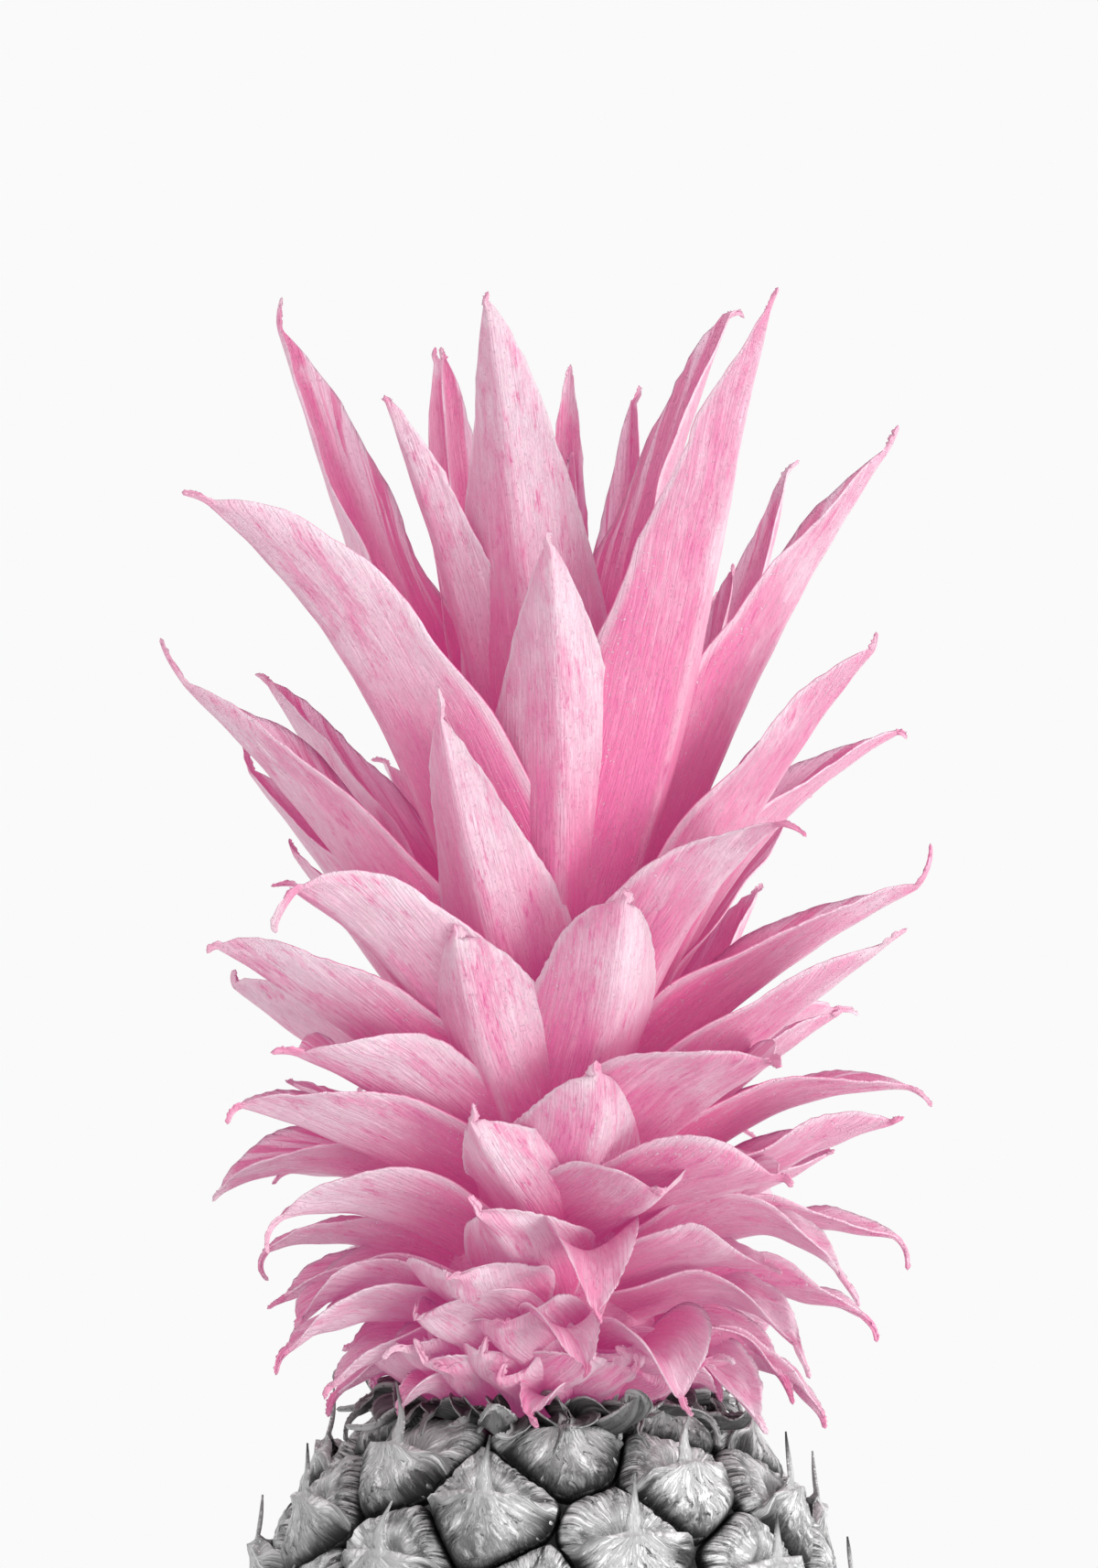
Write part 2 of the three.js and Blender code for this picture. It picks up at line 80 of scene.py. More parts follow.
# Crown: blade section, stem, and one row for each blade that faces forward or sideways: azimuth, height of
# the root, distance from the axis and height of the blade's end, rise in degrees at the root and at the end,
# width when laid flat, fullness of the outline, sideways sway, dried tip's length and how far it turns.
BLADE_ROOT_RADIUS = 2.0
BLADE_HANDLE = 0.4
BLADE_KEEL = 14.0
BLADE_CUP = 30.0
TIP_SPAN = 0.12
BACK_BLADES = 30
FRILL_BLADES = 20
FRILL_ROOT = 150
STEM_PROFILE = [[17, 0.3], [19, 10], [17, 32], [13, 56], [9, 78], [4, 94]]
STEM_ENDS = (0.3, 98)
FRONT_BLADES = [
    # the upright heart
    (-4, 212, 24, 340.5, 76, 86, 33, 3.3, -9, 2, 0),
    (50, 208, 47, 339, 60, 73, 37, 2.9, 2, 4, -10),
    (-120, 206, 56, 340.5, 70, 70, 35, 3.0, 0, 6, 25),
    (-50, 210, 36, 324, 78, 62, 22, 3.0, 0, 1, 0),
    (-140, 212, 30, 335, 76, 82, 22, 2.6, 0, 2, 0),
    (176, 212, 24, 332, 78, 84, 18, 2.6, -2, 2, 0),
    (168, 210, 20, 317, 76, 88, 16, 2.6, 0, 1, 0),
    (128, 210, 41, 343, 72, 62, 24, 3.0, 0, 4, -70),
    (92, 202, 59, 317, 62, 56, 34, 2.6, 0, 5, 10),
    (118, 205, 37, 296, 68, 80, 18, 3.0, 0, 2, 0),
    (-57, 204, 68, 306, 62, 36, 42, 3.9, 0, 5, -20),
    # the spreading middle
    (78, 194, 57, 282, 55, 50, 34, 3.0, 0, 3, 30),
    (105, 194, 64, 268, 52, 28, 22, 2.6, 0, 2, -60),
    (50, 188, 50, 252, 56, 34, 38, 3.4, 0, 6, -60),
    (9, 198, 32, 299, 74, 88, 34, 3.6, -5, 4, 60),
    (-21, 188, 33, 270, 68, 84, 29, 3.2, -7, 5, 0),
    (18, 180, 35, 239, 62, 88, 30, 5.5, 2, 2, 0),
    (-19, 178, 34, 233, 62, 84, 28, 5.5, -5, 2, 0),
    (-50, 188, 55, 241, 46, 24, 36, 4.2, 0, 9, -100),
    (-82, 196, 63.5, 276, 54, 44, 34, 3.3, 0, 9, 20),
    (-108, 190, 56, 261, 54, 50, 26, 3.0, 0, 6, 40),
    (-122, 186, 54, 246, 50, 48, 16, 2.6, 0, 3, 20),
    (-70, 188, 60, 231, 40, 30, 30, 4.0, 0, 2, -60),
    (-102, 184, 57, 223, 38, 36, 24, 4.5, 0, 3, 60),
    (-58, 179, 50, 213, 44, 22, 32, 4.2, 0, 5, -20),
    (-66, 176, 57, 204, 32, 16, 32, 3.7, 0, 4, -70),
    (-100, 175, 46, 206, 36, 28, 16, 3.0, 0, 1, 0),
    (12, 172, 34, 210, 58, 88, 26, 5.0, 1, 2, 0),
    (-4, 170, 34, 202, 58, 74, 28, 3.5, -10, 3, 0),
    (24, 170, 40, 190, 62, 26, 32, 5.0, 3, 2, 0),
    (-6, 164, 37, 187, 58, 62, 28, 3.5, -9, 3, 0),
    (48, 174, 50, 212, 50, 26, 38, 4.6, 0, 3, -40),
    (52, 169, 48, 192, 46, 14, 34, 4.6, 0, 3, -40),
    (84, 192, 64, 241, 44, 28, 28, 2.8, 0, 8, 50),
    (72, 181, 60, 231, 43, 36, 30, 3.0, 0, 5, 0),
    (100, 178, 51, 218, 42, 34, 18, 3.6, 0, 2, 0),
    (124, 182, 45, 239, 56, 62, 26, 3.6, 0, 2, 0),
    (86, 174, 62.5, 206, 37, -2, 24, 2.6, 0, 5, -40),
    (74, 168, 61, 201, 33, 20, 26, 3.0, 0, 2, 0),
    (92, 166, 49, 194, 34, 28, 18, 3.0, 0, 1, 0),
    # the bent skirt
    (-86, 175, 57, 188, 24, -28, 22, 3.6, 0, 2, -20),
    (-64, 169, 50, 185, 27, -10, 28, 3.4, 0, 7, -60),
    (-88, 166, 49, 178, 24, -12, 18, 3.2, 0, 6, -90),
    (-78, 162, 47, 170, 24, -22, 18, 3.0, 0, 3, -10),
    (-70, 160, 46, 167, 25, -32, 22, 4.0, 0, 3, -50),
    (-62, 157, 50, 163, 25, -28, 24, 3.2, 0, 5, -35),
    (-60, 154, 43, 157, 24, -32, 20, 3.0, 0, 3, -30),
    (-75, 152, 37, 153, 24, -40, 13, 3.0, 0, 4, -20),
    (86, 166, 60, 180, 28, -14, 18, 2.8, 0, 6, -60),
    (68, 163, 53, 176, 34, -42, 26, 3.4, 0, 7, -25),
    (50, 163, 46, 177, 30, -6, 26, 3.6, 0, 5, 0),
    (80, 160, 55, 167, 26, -22, 18, 2.8, 0, 5, -45),
    (58, 158, 50, 164, 31, -38, 23, 3.2, 0, 6, -30),
    (72, 155, 42, 157, 28, -46, 15, 3.0, 0, 5, -20),
    (76, 153, 48, 151, 24, -44, 14, 3.0, 0, 3, -20),
    (60, 151, 42, 151, 24, -50, 17, 3.0, 0, 3, -10),
    (13, 167, 40, 171, 66, -80, 24, 2.6, 0, 2, 0),
    (-22, 161, 40, 176, 58, 44, 28, 4.4, -3, 3, -50),
    (6, 157, 40, 162, 66, -80, 20, 2.6, 0, 2, 0),
    (32, 157, 43, 156, 58, -70, 23, 3.0, 0, 3, -10),
    (-27, 155, 38, 169, 60, 50, 26, 4.4, -3, 3, -60),
    (-7, 153, 37, 168, 60, 54, 26, 4.4, -3, 3, -50),
    (20, 152, 34, 163, 60, 66, 22, 3.8, 0, 1, 0),
    (-44, 152, 38, 163, 54, 36, 22, 3.6, 0, 4, -60),
    (-16, 151, 35, 163, 60, 52, 21, 3.6, -3, 3, 60),
    (44, 151, 38, 161, 54, 32, 20, 3.4, 0, 5, -40),
    (4, 151, 35, 162, 60, 56, 20, 3.6, 3, 3, 50),
    (-33, 151, 36, 161, 58, 46, 20, 3.6, -2, 4, 40),
]

# Pieces of the crown, and the height of root at which each one gives way to the next.
TIER_NAMES = ["crown_frill", "crown_skirt", "crown_lower", "crown_middle", "crown_heart"]
TIER_BOUNDS = [150.5, 160, 172, 195]

# Studio, in metres and watts: each lamp's name, place, aim, size and power.
BACKDROP = 0.955
FILL = 0.97
LAMPS = [
    ("key", (1.20, -0.36, 0.60), (0, 0, 0.2), (0.6, 0.8), 6.8),
    ("front", (-0.5, -1.3, 0.8), (0, 0, 0.2), (0.8, 0.8), 0.8),
    ("low", (0.76, -0.64, 0.06), (0, 0, 0.12), (0.5, 0.3), 5.4),
]
FLOOR_RADIUS = 0.6
FLOOR_DROP = 0.0002
CAMERA_PLACE = (0.0, -0.9, 0.259)
CAMERA_LENS = 118.1
CAMERA_SENSOR = 36.0


# Shared arithmetic


def smooth(low, high, value):
    """Rises from 0 at low to 1 at high, level at both ends."""
    share = np.clip((value - low) / (high - low), 0, 1)
    return share * share * (3 - 2 * share)


def seeded_draw(seed):
    """A repeatable draw from 0 to 1: each state is the last times one constant plus another, in 32 bits."""
    state = seed
    while True:
        state = (state * 1664525 + 1013904223) % 4294967296
        yield state / 4294967296


def outward(turn):
    """The level direction at an azimuth, which is 0 towards -Y and grows towards +X."""
    return np.stack([np.sin(turn), -np.cos(turn), np.zeros_like(turn)], -1)


def sideways(turn):
    """The level direction across outward()."""
    return np.stack([np.cos(turn), np.sin(turn), np.zeros_like(turn)], -1)


UP = np.array([0.0, 0.0, 1.0])


def unit(vectors):
    """Vectors drawn to a length of one."""
    return vectors / np.maximum(np.linalg.norm(vectors, axis=-1, keepdims=True), 1e-9)


# Meshes


class Gathered:
    """Vertices, faces and named values of many patches, put into one mesh at the end."""

    def __init__(self):
        self.points = []
        self.faces = []
        self.values = {}
        self.count = 0

    def add(self, points, quads, triangles, values):
        self.points.append(points)
        self.faces.extend((quads + self.count).tolist())
        self.faces.extend((triangles + self.count).tolist())
        for name, value in values.items():
            self.values.setdefault(name, []).append(value)
        self.count += len(points)

    def build(self, name, material):
        mesh = bpy.data.meshes.new(name)
        mesh.from_pydata((np.concatenate(self.points) * MM).tolist(), [], self.faces)
        for key, parts in self.values.items():
            value = np.concatenate(parts).astype(np.float32)
            kind = "FLOAT_VECTOR" if value.ndim == 2 else "FLOAT"
            attribute = mesh.attributes.new(key, kind, "POINT")
            attribute.data.foreach_set("vector" if value.ndim == 2 else "value", value.ravel())
        mesh.shade_smooth()
        mesh.materials.append(material)
        mesh.update()
        piece = bpy.data.objects.new(name, mesh)
        bpy.context.scene.collection.objects.link(piece)
        return piece


def wrapped_quads(rows, columns):
    """Quads of a grid of rows by columns whose columns close on themselves."""
    row, column = np.meshgrid(np.arange(rows - 1), np.arange(columns), indexing="ij")
    after = (column + 1) % columns
    a = row * columns + column
    b = row * columns + after
    return np.stack([a, b, b + columns, a + columns], -1).reshape(-1, 4)


def fan(ring, middle):
    """Triangles from a closed ring of vertex numbers to one middle vertex."""
    return np.stack([ring, np.roll(ring, -1), np.full_like(ring, middle)], -1)


def end_fans(ring, count):
    """Fans that close the first and the last ring of count vertices on the two vertices after them."""
    first, last = np.arange(ring), np.arange(count - ring, count)
    return np.concatenate([fan(first[::-1], count), fan(last, count + 1)])


def two_faced(centre, thick, normal):
    """A sheet with a wall: each row of points runs over the sheet and back under it, half the wall away."""
    top = centre + 0.5 * thick * normal[:, None]
    bottom = (centre - 0.5 * thick * normal[:, None])[:, ::-1]
    return np.concatenate([top, bottom], 1).reshape(-1, 3)


def with_ends(values, first, last):
    """The values of a grid in one list, and after them those of the two vertices that close its ends."""
    return np.concatenate([values.reshape((-1,) + np.shape(first)), [first, last]])


# Fruit skin


def profile_table():
    """The half profile as a uniform Catmull-Rom curve, with its length, area and stretch summed along it."""
    corners = np.vstack([FRUIT_PROFILE[:1], FRUIT_PROFILE, FRUIT_PROFILE[-1:]])
    place = np.linspace(0, len(FRUIT_PROFILE) - 1, 401)
    part = np.minimum(place.astype(int), len(FRUIT_PROFILE) - 2)
    t = (place - part)[:, None]
    a, b, c, d = (corners[part + k] for k in range(4))
    square, cube = 2 * a - 5 * b + 4 * c - d, 3 * b - a - 3 * c + d
    curve = 0.5 * (2 * b + (c - a) * t + square * t ** 2 + cube * t ** 3)
    r, z = curve.T
    step = np.hypot(np.diff(r), np.diff(z))
    middle = (r[1:] + r[:-1]) / 2
    area = np.concatenate([[0], np.cumsum(step * middle)])
    stretch = np.concatenate([[0], np.cumsum(step / middle)])
    tilt = np.arctan2(np.gradient(z), np.gradient(r))
    return {"r": r, "z": z, "area": area, "map": stretch, "tilt": tilt}


TABLE = profile_table()


def at(key, stretch):
    """A column of the profile's table, read at a place on the flat map."""
    return np.interp(stretch, TABLE["map"], TABLE[key])


def skin(turn, stretch, height):
    """The point of the skin at an azimuth and a place on its flat map, raised by height along the normal."""
    tilt = at("tilt", stretch)
    level = at("r", stretch) + height * np.sin(tilt)
    rise = at("z", stretch) - height * np.cos(tilt)
    points = outward(turn) * level[..., None] + UP * rise[..., None]
    points[..., 2] = np.maximum(points[..., 2], BASE_CLEARANCE)
    return points


def eye_centres():
    """Eyes on a golden-angle spiral with equal skin area each, as azimuth and place on the flat map."""
    number = np.arange(EYES)
    stretch = np.interp((number + 0.5) / EYES * TABLE["area"][-1], TABLE["area"], TABLE["map"])
    turn = np.radians(FIRST_EYE + number * GOLDEN_ANGLE) % (2 * np.pi)
    return np.stack([turn, stretch], -1)


CENTRES = eye_centres()


def eye_reach(angle):
    """Distance on the flat map from each eye's middle to its edge: half the way to its neighbours, rounded.

    Each neighbour gives the line halfway to it. The reach is one over the power sum of the inverse distances
    to those lines, and the power of EYE_CORNERS makes the outline a soft polygon."""
    laps = np.array([[-2 * np.pi, 0], [0, 0], [2 * np.pi, 0]])
    others = (CENTRES[None] + laps[:, None]).reshape(-1, 2)
    gaps = others[None] - CENTRES[:, None]
    low = np.stack([np.zeros(EYES), -2 * CENTRES[:, 1]], -1)
    high = np.stack([np.zeros(EYES), 2 * (TABLE["map"][-1] - CENTRES[:, 1])], -1)
    gaps = np.concatenate([gaps, low[:, None], high[:, None]], 1)
    square = (gaps ** 2).sum(-1)
    gaps = np.where((square < 1e-6)[..., None], 1e6, gaps)
    square = (gaps ** 2).sum(-1)
    way = np.stack([np.cos(angle), np.sin(angle)], -1)
    lines = np.maximum(2 * np.einsum("ijk,lk->ijl", gaps, way) / square[..., None], 0)
    return (lines ** EYE_CORNERS).sum(1) ** (-1 / EYE_CORNERS)


def pillow_height(rho):
    """Height of a plain eye, rho from its middle to its edge: one minus rho to the eighth, to a power below
    one, so that it falls steeply into the groove, and a low dome on top."""
    steep = np.clip(1 - rho ** 8, 0, 1) ** 0.6
    return -GROOVE_DEPTH + (GROOVE_DEPTH + 0.1) * steep + 0.5 * (1 - rho ** 2)


def eye_height(rho, angle, lean):
    """Relief of one eye: the pillow with a rim round its upper half, a pit with three lobes, and wrinkles.

    The rim, pit and lobes are bells, and the wrinkles are sines of the angle that fade at the edge."""
    x, y = rho * np.cos(angle), rho * np.sin(angle)
    rim = 0.7 * np.exp(-((rho - 0.74) / 0.13) ** 2) * smooth(-0.3, 0.5, y)
    pit = -2.2 * np.exp(-(x / 0.34) ** 2 - ((y - 0.22) / 0.24) ** 2)
    lobes = 0.0
    for across, along, size in ((-0.24, 0.30, 0.16), (0.24, 0.30, 0.16), (0.0, 0.44, 0.17)):
        lobes = lobes + 1.5 * np.exp(-((x - across) ** 2 + (y - along) ** 2) / size ** 2)
    wrinkles = 0.26 * np.sin(27 * angle + 9 * lean) + 0.2 * np.sin(11 * angle + 17 * lean)
    wrinkles = wrinkles * smooth(0.35, 0.8, rho) * (1 - smooth(0.93, 1.0, rho))
    return pillow_height(rho) + rim + pit + lobes + wrinkles


def spine_tips():
    """Each spine's tip: from the eye's middle along the skin, leaning to upright near the crown and the base.

    The directions along the skin and away from it come with it."""
    draw = seeded_draw(11)
    drawn = np.array([[next(draw), next(draw)] for _ in range(EYES)])
    turn, stretch = CENTRES.T
    tilt, z = at("tilt", stretch), at("z", stretch)
    out = outward(turn)
    along = out * np.cos(tilt)[:, None] + UP * np.sin(tilt)[:, None]
    away = out * np.sin(tilt)[:, None] - UP * np.cos(tilt)[:, None]
    high, low, topmost = smooth(105, 138, z), 1 - smooth(4, 30, z), smooth(143, 148, z)
    length = (SPINE_LENGTH + high * (TOP_SPINE_LENGTH - SPINE_LENGTH)) * (1 - 0.75 * topmost)
    lean = np.maximum(0.65 * high, 0.9 * low)[:, None]
    rise = unit(along * (1 - lean) + UP * lean)
    tip = skin(turn, stretch, np.full(EYES, 0.9)) + rise * (length * (0.9 + 0.2 * drawn[:, 0]))[:, None]
    tip += away * (SPINE_LIFT * (1 - 0.5 * topmost) * (1 - 0.7 * low))[:, None]
    tip += sideways(turn) * (3 * (drawn[:, 1] - 0.5))[:, None]
    return tip, along, away


def make_eyes(name, numbers, material):
    """One closed pillow for each eye: rings of rho by angle over its outline, and a point under the skin."""
    rings, spokes = 18, 64
    rho = np.linspace(0, 1, rings) ** 0.8
    angle = np.linspace(0, 2 * np.pi, spokes, endpoint=False)
    reach = eye_reach(angle) * EYE_OVERLAP
    leans = np.random.default_rng(5).random(EYES)
    grid_rho, grid_angle = np.meshgrid(rho[1:], angle, indexing="ij")
    x, y = grid_rho * np.cos(grid_angle), grid_rho * np.sin(grid_angle)
    quads = wrapped_quads(rings - 1, spokes)[:, ::-1]
    gathered = Gathered()
    for number in numbers:
        turn, stretch = CENTRES[number]
        lean = leans[number]
        flat_x = turn + grid_rho * reach[number] * np.cos(grid_angle)
        flat_y = np.clip(stretch + grid_rho * reach[number] * np.sin(grid_angle), 0, TABLE["map"][-1])
        surface = skin(flat_x, flat_y, eye_height(grid_rho, grid_angle, lean)).reshape(-1, 3)
        heights = np.array([eye_height(0.0, 0.0, lean), -EYE_ROOT_DEPTH])
        points = np.concatenate([surface, skin(np.full(2, turn), np.full(2, stretch), heights)])
        count = len(surface)
        first, last = np.arange(spokes), np.arange(count - spokes, count)
        size = (reach[number] * at("r", stretch)).mean()
        pattern, turned_by = EYE_PATTERN_STEP * number, EYE_ROUND_STEP * number
        place = np.stack([x * size, y * size, np.full_like(x, pattern)], -1)
        circle = np.stack([np.cos(grid_angle), np.sin(grid_angle), 0.12 * grid_rho + turned_by], -1)
        gathered.add(points, quads, np.concatenate([fan(first, count), fan(last[::-1], count + 1)]), {
            "rho": with_ends(grid_rho, 0, 1),
            "upper": with_ends(y, 0, 0),
            "circle": with_ends(circle, [0, 0, turned_by], [0, 0, turned_by]),
            "grain": with_ends(place, [0, 0, pattern], [0, 0, pattern]),
        })
    return gathered.build(name, material)


def make_bracts(name, numbers, material):
    """One papery bract for each eye: a sheet laid on its lower part, with a lip that runs up into a spine.

    s runs from 0 at the eye's lowest point, over 0.5 at the lip, to 1 at the spine's tip, and u across
    from -1 to 1. Below the lip the sheet lies on the pillow out to BRACT_REACH of the eye's outline, found
    by trying widths, and a tent with its ridge on the middle line lifts it. Above the lip its middle line is
    a Bezier curve to the spine's tip, and its half width falls off by a power to the spine's. Wrinkles are
    sines of the angle seen from the spine's foot, and the lip and its hem are bells along s."""
    tips, along, away = spine_tips()
    s = np.concatenate([np.linspace(0, 0.5, 12), np.linspace(0.52, 0.64, 6), np.linspace(0.67, 1, 12)])
    s = s[:, None]
    u = np.linspace(-1, 1, 17)
    steps, ring = len(s), 2 * len(u)
    quads = wrapped_quads(steps, ring)
    spread = np.broadcast_to(np.concatenate([u, u[::-1]]), (steps, ring))
    level = np.broadcast_to(s, (steps, ring))
    reach = eye_reach(np.radians([270.0, 0.0, 180.0]))
    round_angle = np.radians(np.arange(0.0, 361.0, 5.0))
    outline = eye_reach(round_angle)
    trials = 160
    trial = np.linspace(0, 1, trials)
    chances = np.random.default_rng(9).random((EYES, 6))
    lower, upper = np.clip(s / 0.5, 0, 1), np.clip((s - 0.5) / 0.5, 0, 1)
    behind = np.clip((0.62 - s) / 0.12, 0, 1)
    thick = 0.5 + 0.45 * np.sin(np.pi * np.minimum(upper, 0.96)) - 0.22 * upper
    thick = (thick * (1 - 0.55 * u ** 2))[..., None]
    spine = 1.9 * (1 - upper) ** 1.5 + 0.17
    lip = 0.7 * np.exp(-((s - 0.5) / 0.05) ** 2) * (1 - u ** 2)
    tent = 0.45 + (0.25 + 2.0 * lower ** 1.4) * (1 - np.abs(u)) ** 1.25
    tent = tent + 1.1 * lower ** 9 * (1 - u ** 4)
    freed = smooth(0.47, 0.53, s)[..., None]
    rungs, heights = np.array([-0.97, -0.50, 0.04]), np.array([-1.6, 0.9, 3.0])
    gathered = Gathered()
    for number in numbers:
        turn, stretch = CENTRES[number]
        radius, down = at("r", stretch), reach[number, 0]
        half = 0.5 * (reach[number, 1] + reach[number, 2]) * radius
        chance = chances[number]
        side = sideways(np.array(turn))

        def outline_share(x, y):
            edge = np.interp(np.arctan2(y, x) % (2 * np.pi), round_angle, outline[number])
            return np.hypot(x, y) / edge

        foot = skin(np.full(3, turn), stretch + rungs * down, heights)
        bow = 0.74 * (tips[number] - foot[2])
        control = foot[2] + along[number] * 0.5 * np.dot(bow, along[number])
        control = control + away[number] * (0.6 + 1.6 * chance[2])
        line = (1 - lower) ** 2 * foot[0] + 2 * (1 - lower) * lower * foot[1] + lower ** 2 * foot[2]
        free = (1 - upper) ** 2 * foot[2] + 2 * (1 - upper) * upper * control + upper ** 2 * (foot[2] + bow)
        free = free + side * (2.4 * (chance[3] - 0.5) * np.sin(np.pi * upper * 1.4) * upper)
        line = np.where(s < 0.5, line, free)
        ahead = unit(np.gradient(line, axis=0))
        normal = unit(np.cross(side, ahead))

        flat_y = (-0.97 + 1.01 * lower) * down
        within = [outline_share(way * trial * 2 * down, flat_y) < BRACT_REACH for way in (-1, 1)]
        left, right = (2 * down / trials * np.maximum(inside.sum(1) - 1, 0.6) for inside in within)
        fitted = np.where(u < 0, left[:, None], right[:, None])
        flat_x = u * fitted
        width = np.maximum(spine, half * behind ** 2.6)
        across = u * np.where(s < 0.5, fitted * radius, width)

        below = (1 - lower) * down * radius
        seen = np.arctan2(across, below + 1.5)
        bend = 0.25 * np.sin(0.6 * below + 9 * chance[3])
        wrinkle = 0.26 * np.sin(9 * (seen + bend) + 6 * chance[0])
        wrinkle = wrinkle + 0.13 * np.sin(23 * (seen - bend) + 6 * chance[1])
        wrinkle = wrinkle * smooth(1.5, 7, np.hypot(across, below)) * (s < 0.6)
        hem = 1.3 * np.sin(9 * u + 9 * chance[4]) * np.abs(u) ** 1.4 * np.exp(-((s - 0.5) / 0.07) ** 2)
        droop = across ** 2 / (2 * radius) * (s < 0.66) + 3.1 * np.abs(u) ** 1.7 * behind
        sunk = (droop - wrinkle - lip)[..., None]
        centre = line[:, None] + across[..., None] * side - sunk * normal[:, None]
        centre = centre + hem[..., None] * ahead[:, None]
        raised = pillow_height(outline_share(flat_x, flat_y)) + tent + wrinkle + lip
        laid = skin(turn + flat_x, stretch + flat_y + hem / radius, raised)
        centre = laid + (centre - laid) * freed

        points = two_faced(centre, thick, normal)
        points[:, 2] = np.maximum(points[:, 2], BASE_CLEARANCE)
        ends = np.stack([points[:ring].mean(0), points[-ring:].mean(0)])
        angle = np.concatenate([seen, seen[:, ::-1]], 1)
        depth = np.broadcast_to(np.maximum(below, 0) - 20 * upper, angle.shape)
        place = np.stack([angle * 9, depth, np.full_like(angle, BRACT_PATTERN_STEP * number)], -1)
        gathered.add(np.concatenate([points, ends]), quads, end_fans(ring, len(points)), {
            "along": with_ends(level, 0, 1),
            "across": with_ends(spread, 0, 0),
            "chance": np.full(len(points) + 2, chance[5]),
            "grain": with_ends(place, [0, 0, 0], [0, -20, 0]),
        })
    return gathered.build(name, material)


def turned(name, line, first, last, sides, material):
    """A profile of radius and height turned round the axis and closed at the heights first and last on it."""
    line = np.asarray(line, float)
    turn = np.linspace(0, 2 * np.pi, sides, endpoint=False)
    points = outward(turn)[None] * line[:, None, :1] + UP * line[:, None, 1:]
    points = with_ends(points, [0, 0, first], [0, 0, last])
    gathered = Gathered()
    gathered.add(points, wrapped_quads(len(line), sides), end_fans(sides, len(points) - 2), {"grain": points})
    return gathered.build(name, material)


def make_core(material):
    """The fruit under its eyes: the half profile drawn in below the grooves and turned round the axis.

    A round pocket for the stalk is turned into its base."""
    keep = slice(6, -6, 12)
    tilt = TABLE["tilt"][keep]
    depth = GROOVE_DEPTH - 0.3
    r = TABLE["r"][keep] - depth * np.sin(tilt)
    z = np.clip(TABLE["z"][keep] + depth * np.cos(tilt), 0.6, FRUIT_TOP - 0.6)
    pocket, ceiling = STALK_RADIUS + STALK_GAP, STALK_LENGTH + STALK_GAP
    roof = FRUIT_TOP - 0.4
    base = [[pocket, ceiling], [pocket, 0.0], [24, 0.0], [35.5, 0.0]]
    line = np.vstack([base, np.stack([r, z], -1), [[20, roof]]])
    return turned("fruit_core", line, ceiling, roof, 96, material)


# Crown


def heading(rise):
    """The direction at a rise in degrees, as radius and height."""
    turn = np.radians(rise)
    return np.array([np.cos(turn), np.sin(turn)])


def blade_line(row, t, wobble):
    """Middle line of a blade: a Bezier curve in the upright plane of its azimuth, with a sideways sway.

    Past t = 1 it goes on for TIP_SPAN as the dried tip, whose direction turns as it goes. Blades low in front
    and in the frill start further out, and those that end pointing down have longer handles, so they fold."""
    azimuth, root, reach, height, rise0, rise1, _, _, sway, tip, turn = row
    low_front = (1 - smooth(30, 56, abs(azimuth))) * (1 - smooth(158, 176, root))
    low = np.maximum(low_front, 1 - smooth(150.4, 151, root))
    start, end = np.array([BLADE_ROOT_RADIUS + 20 * low, root]), np.array([reach, height])
    folded = 1 - smooth(-78, -72, rise1)
    handle = BLADE_HANDLE * np.hypot(*(end - start)) * (1 + folded * np.array([0.2, 0.3]))
    first, second = start + handle[0] * heading(rise0), end - handle[1] * heading(rise1)
    blade = np.minimum(t, 1)[:, None]
    flat = ((1 - blade) ** 3 * start + 3 * (1 - blade) ** 2 * blade * first
            + 3 * (1 - blade) * blade ** 2 * second + blade ** 3 * end)
    past = np.clip((t - 1) / TIP_SPAN, 0, 1)
    rise = np.radians(rise1 + turn * (0.25 + 1.1 * past))
    step = np.diff(past, prepend=0)[:, None] * tip
    flat = flat + np.cumsum(np.stack([np.cos(rise), np.sin(rise)], -1) * step, 0)
    side = sway * np.minimum(t, 1) ** 2.5 + wobble * tip * 0.3 * np.sin(np.pi * past * 1.3)
    side = side + 2.2 * (1 - smooth(158, 182, root)) * np.minimum(t, 1) ** 1.5 * np.sin(5.5 * t + 20 * wobble)
    facing = np.array(np.radians(azimuth))
    return outward(facing) * flat[:, :1] + sideways(facing) * side[:, None] + UP * flat[:, 1:]


def blade_section(u, keel, cup):
    """Across and height of a section with unit half width, u from -1 to 1.

    Its slope grows quickly to the keel angle beside the middle line and then steadily by the cup angle."""
    fine = np.linspace(0, 1, 81)
    slope = np.radians(keel * (1 - np.exp(-fine / 0.05)) + cup * fine)
    step = 1 / 80
    across = np.concatenate([[0], np.cumsum(np.cos((slope[1:] + slope[:-1]) / 2)) * step])
    height = np.concatenate([[0], np.cumsum(np.sin((slope[1:] + slope[:-1]) / 2)) * step])
    return np.sign(u) * np.interp(np.abs(u), fine, across), np.interp(np.abs(u), fine, height)


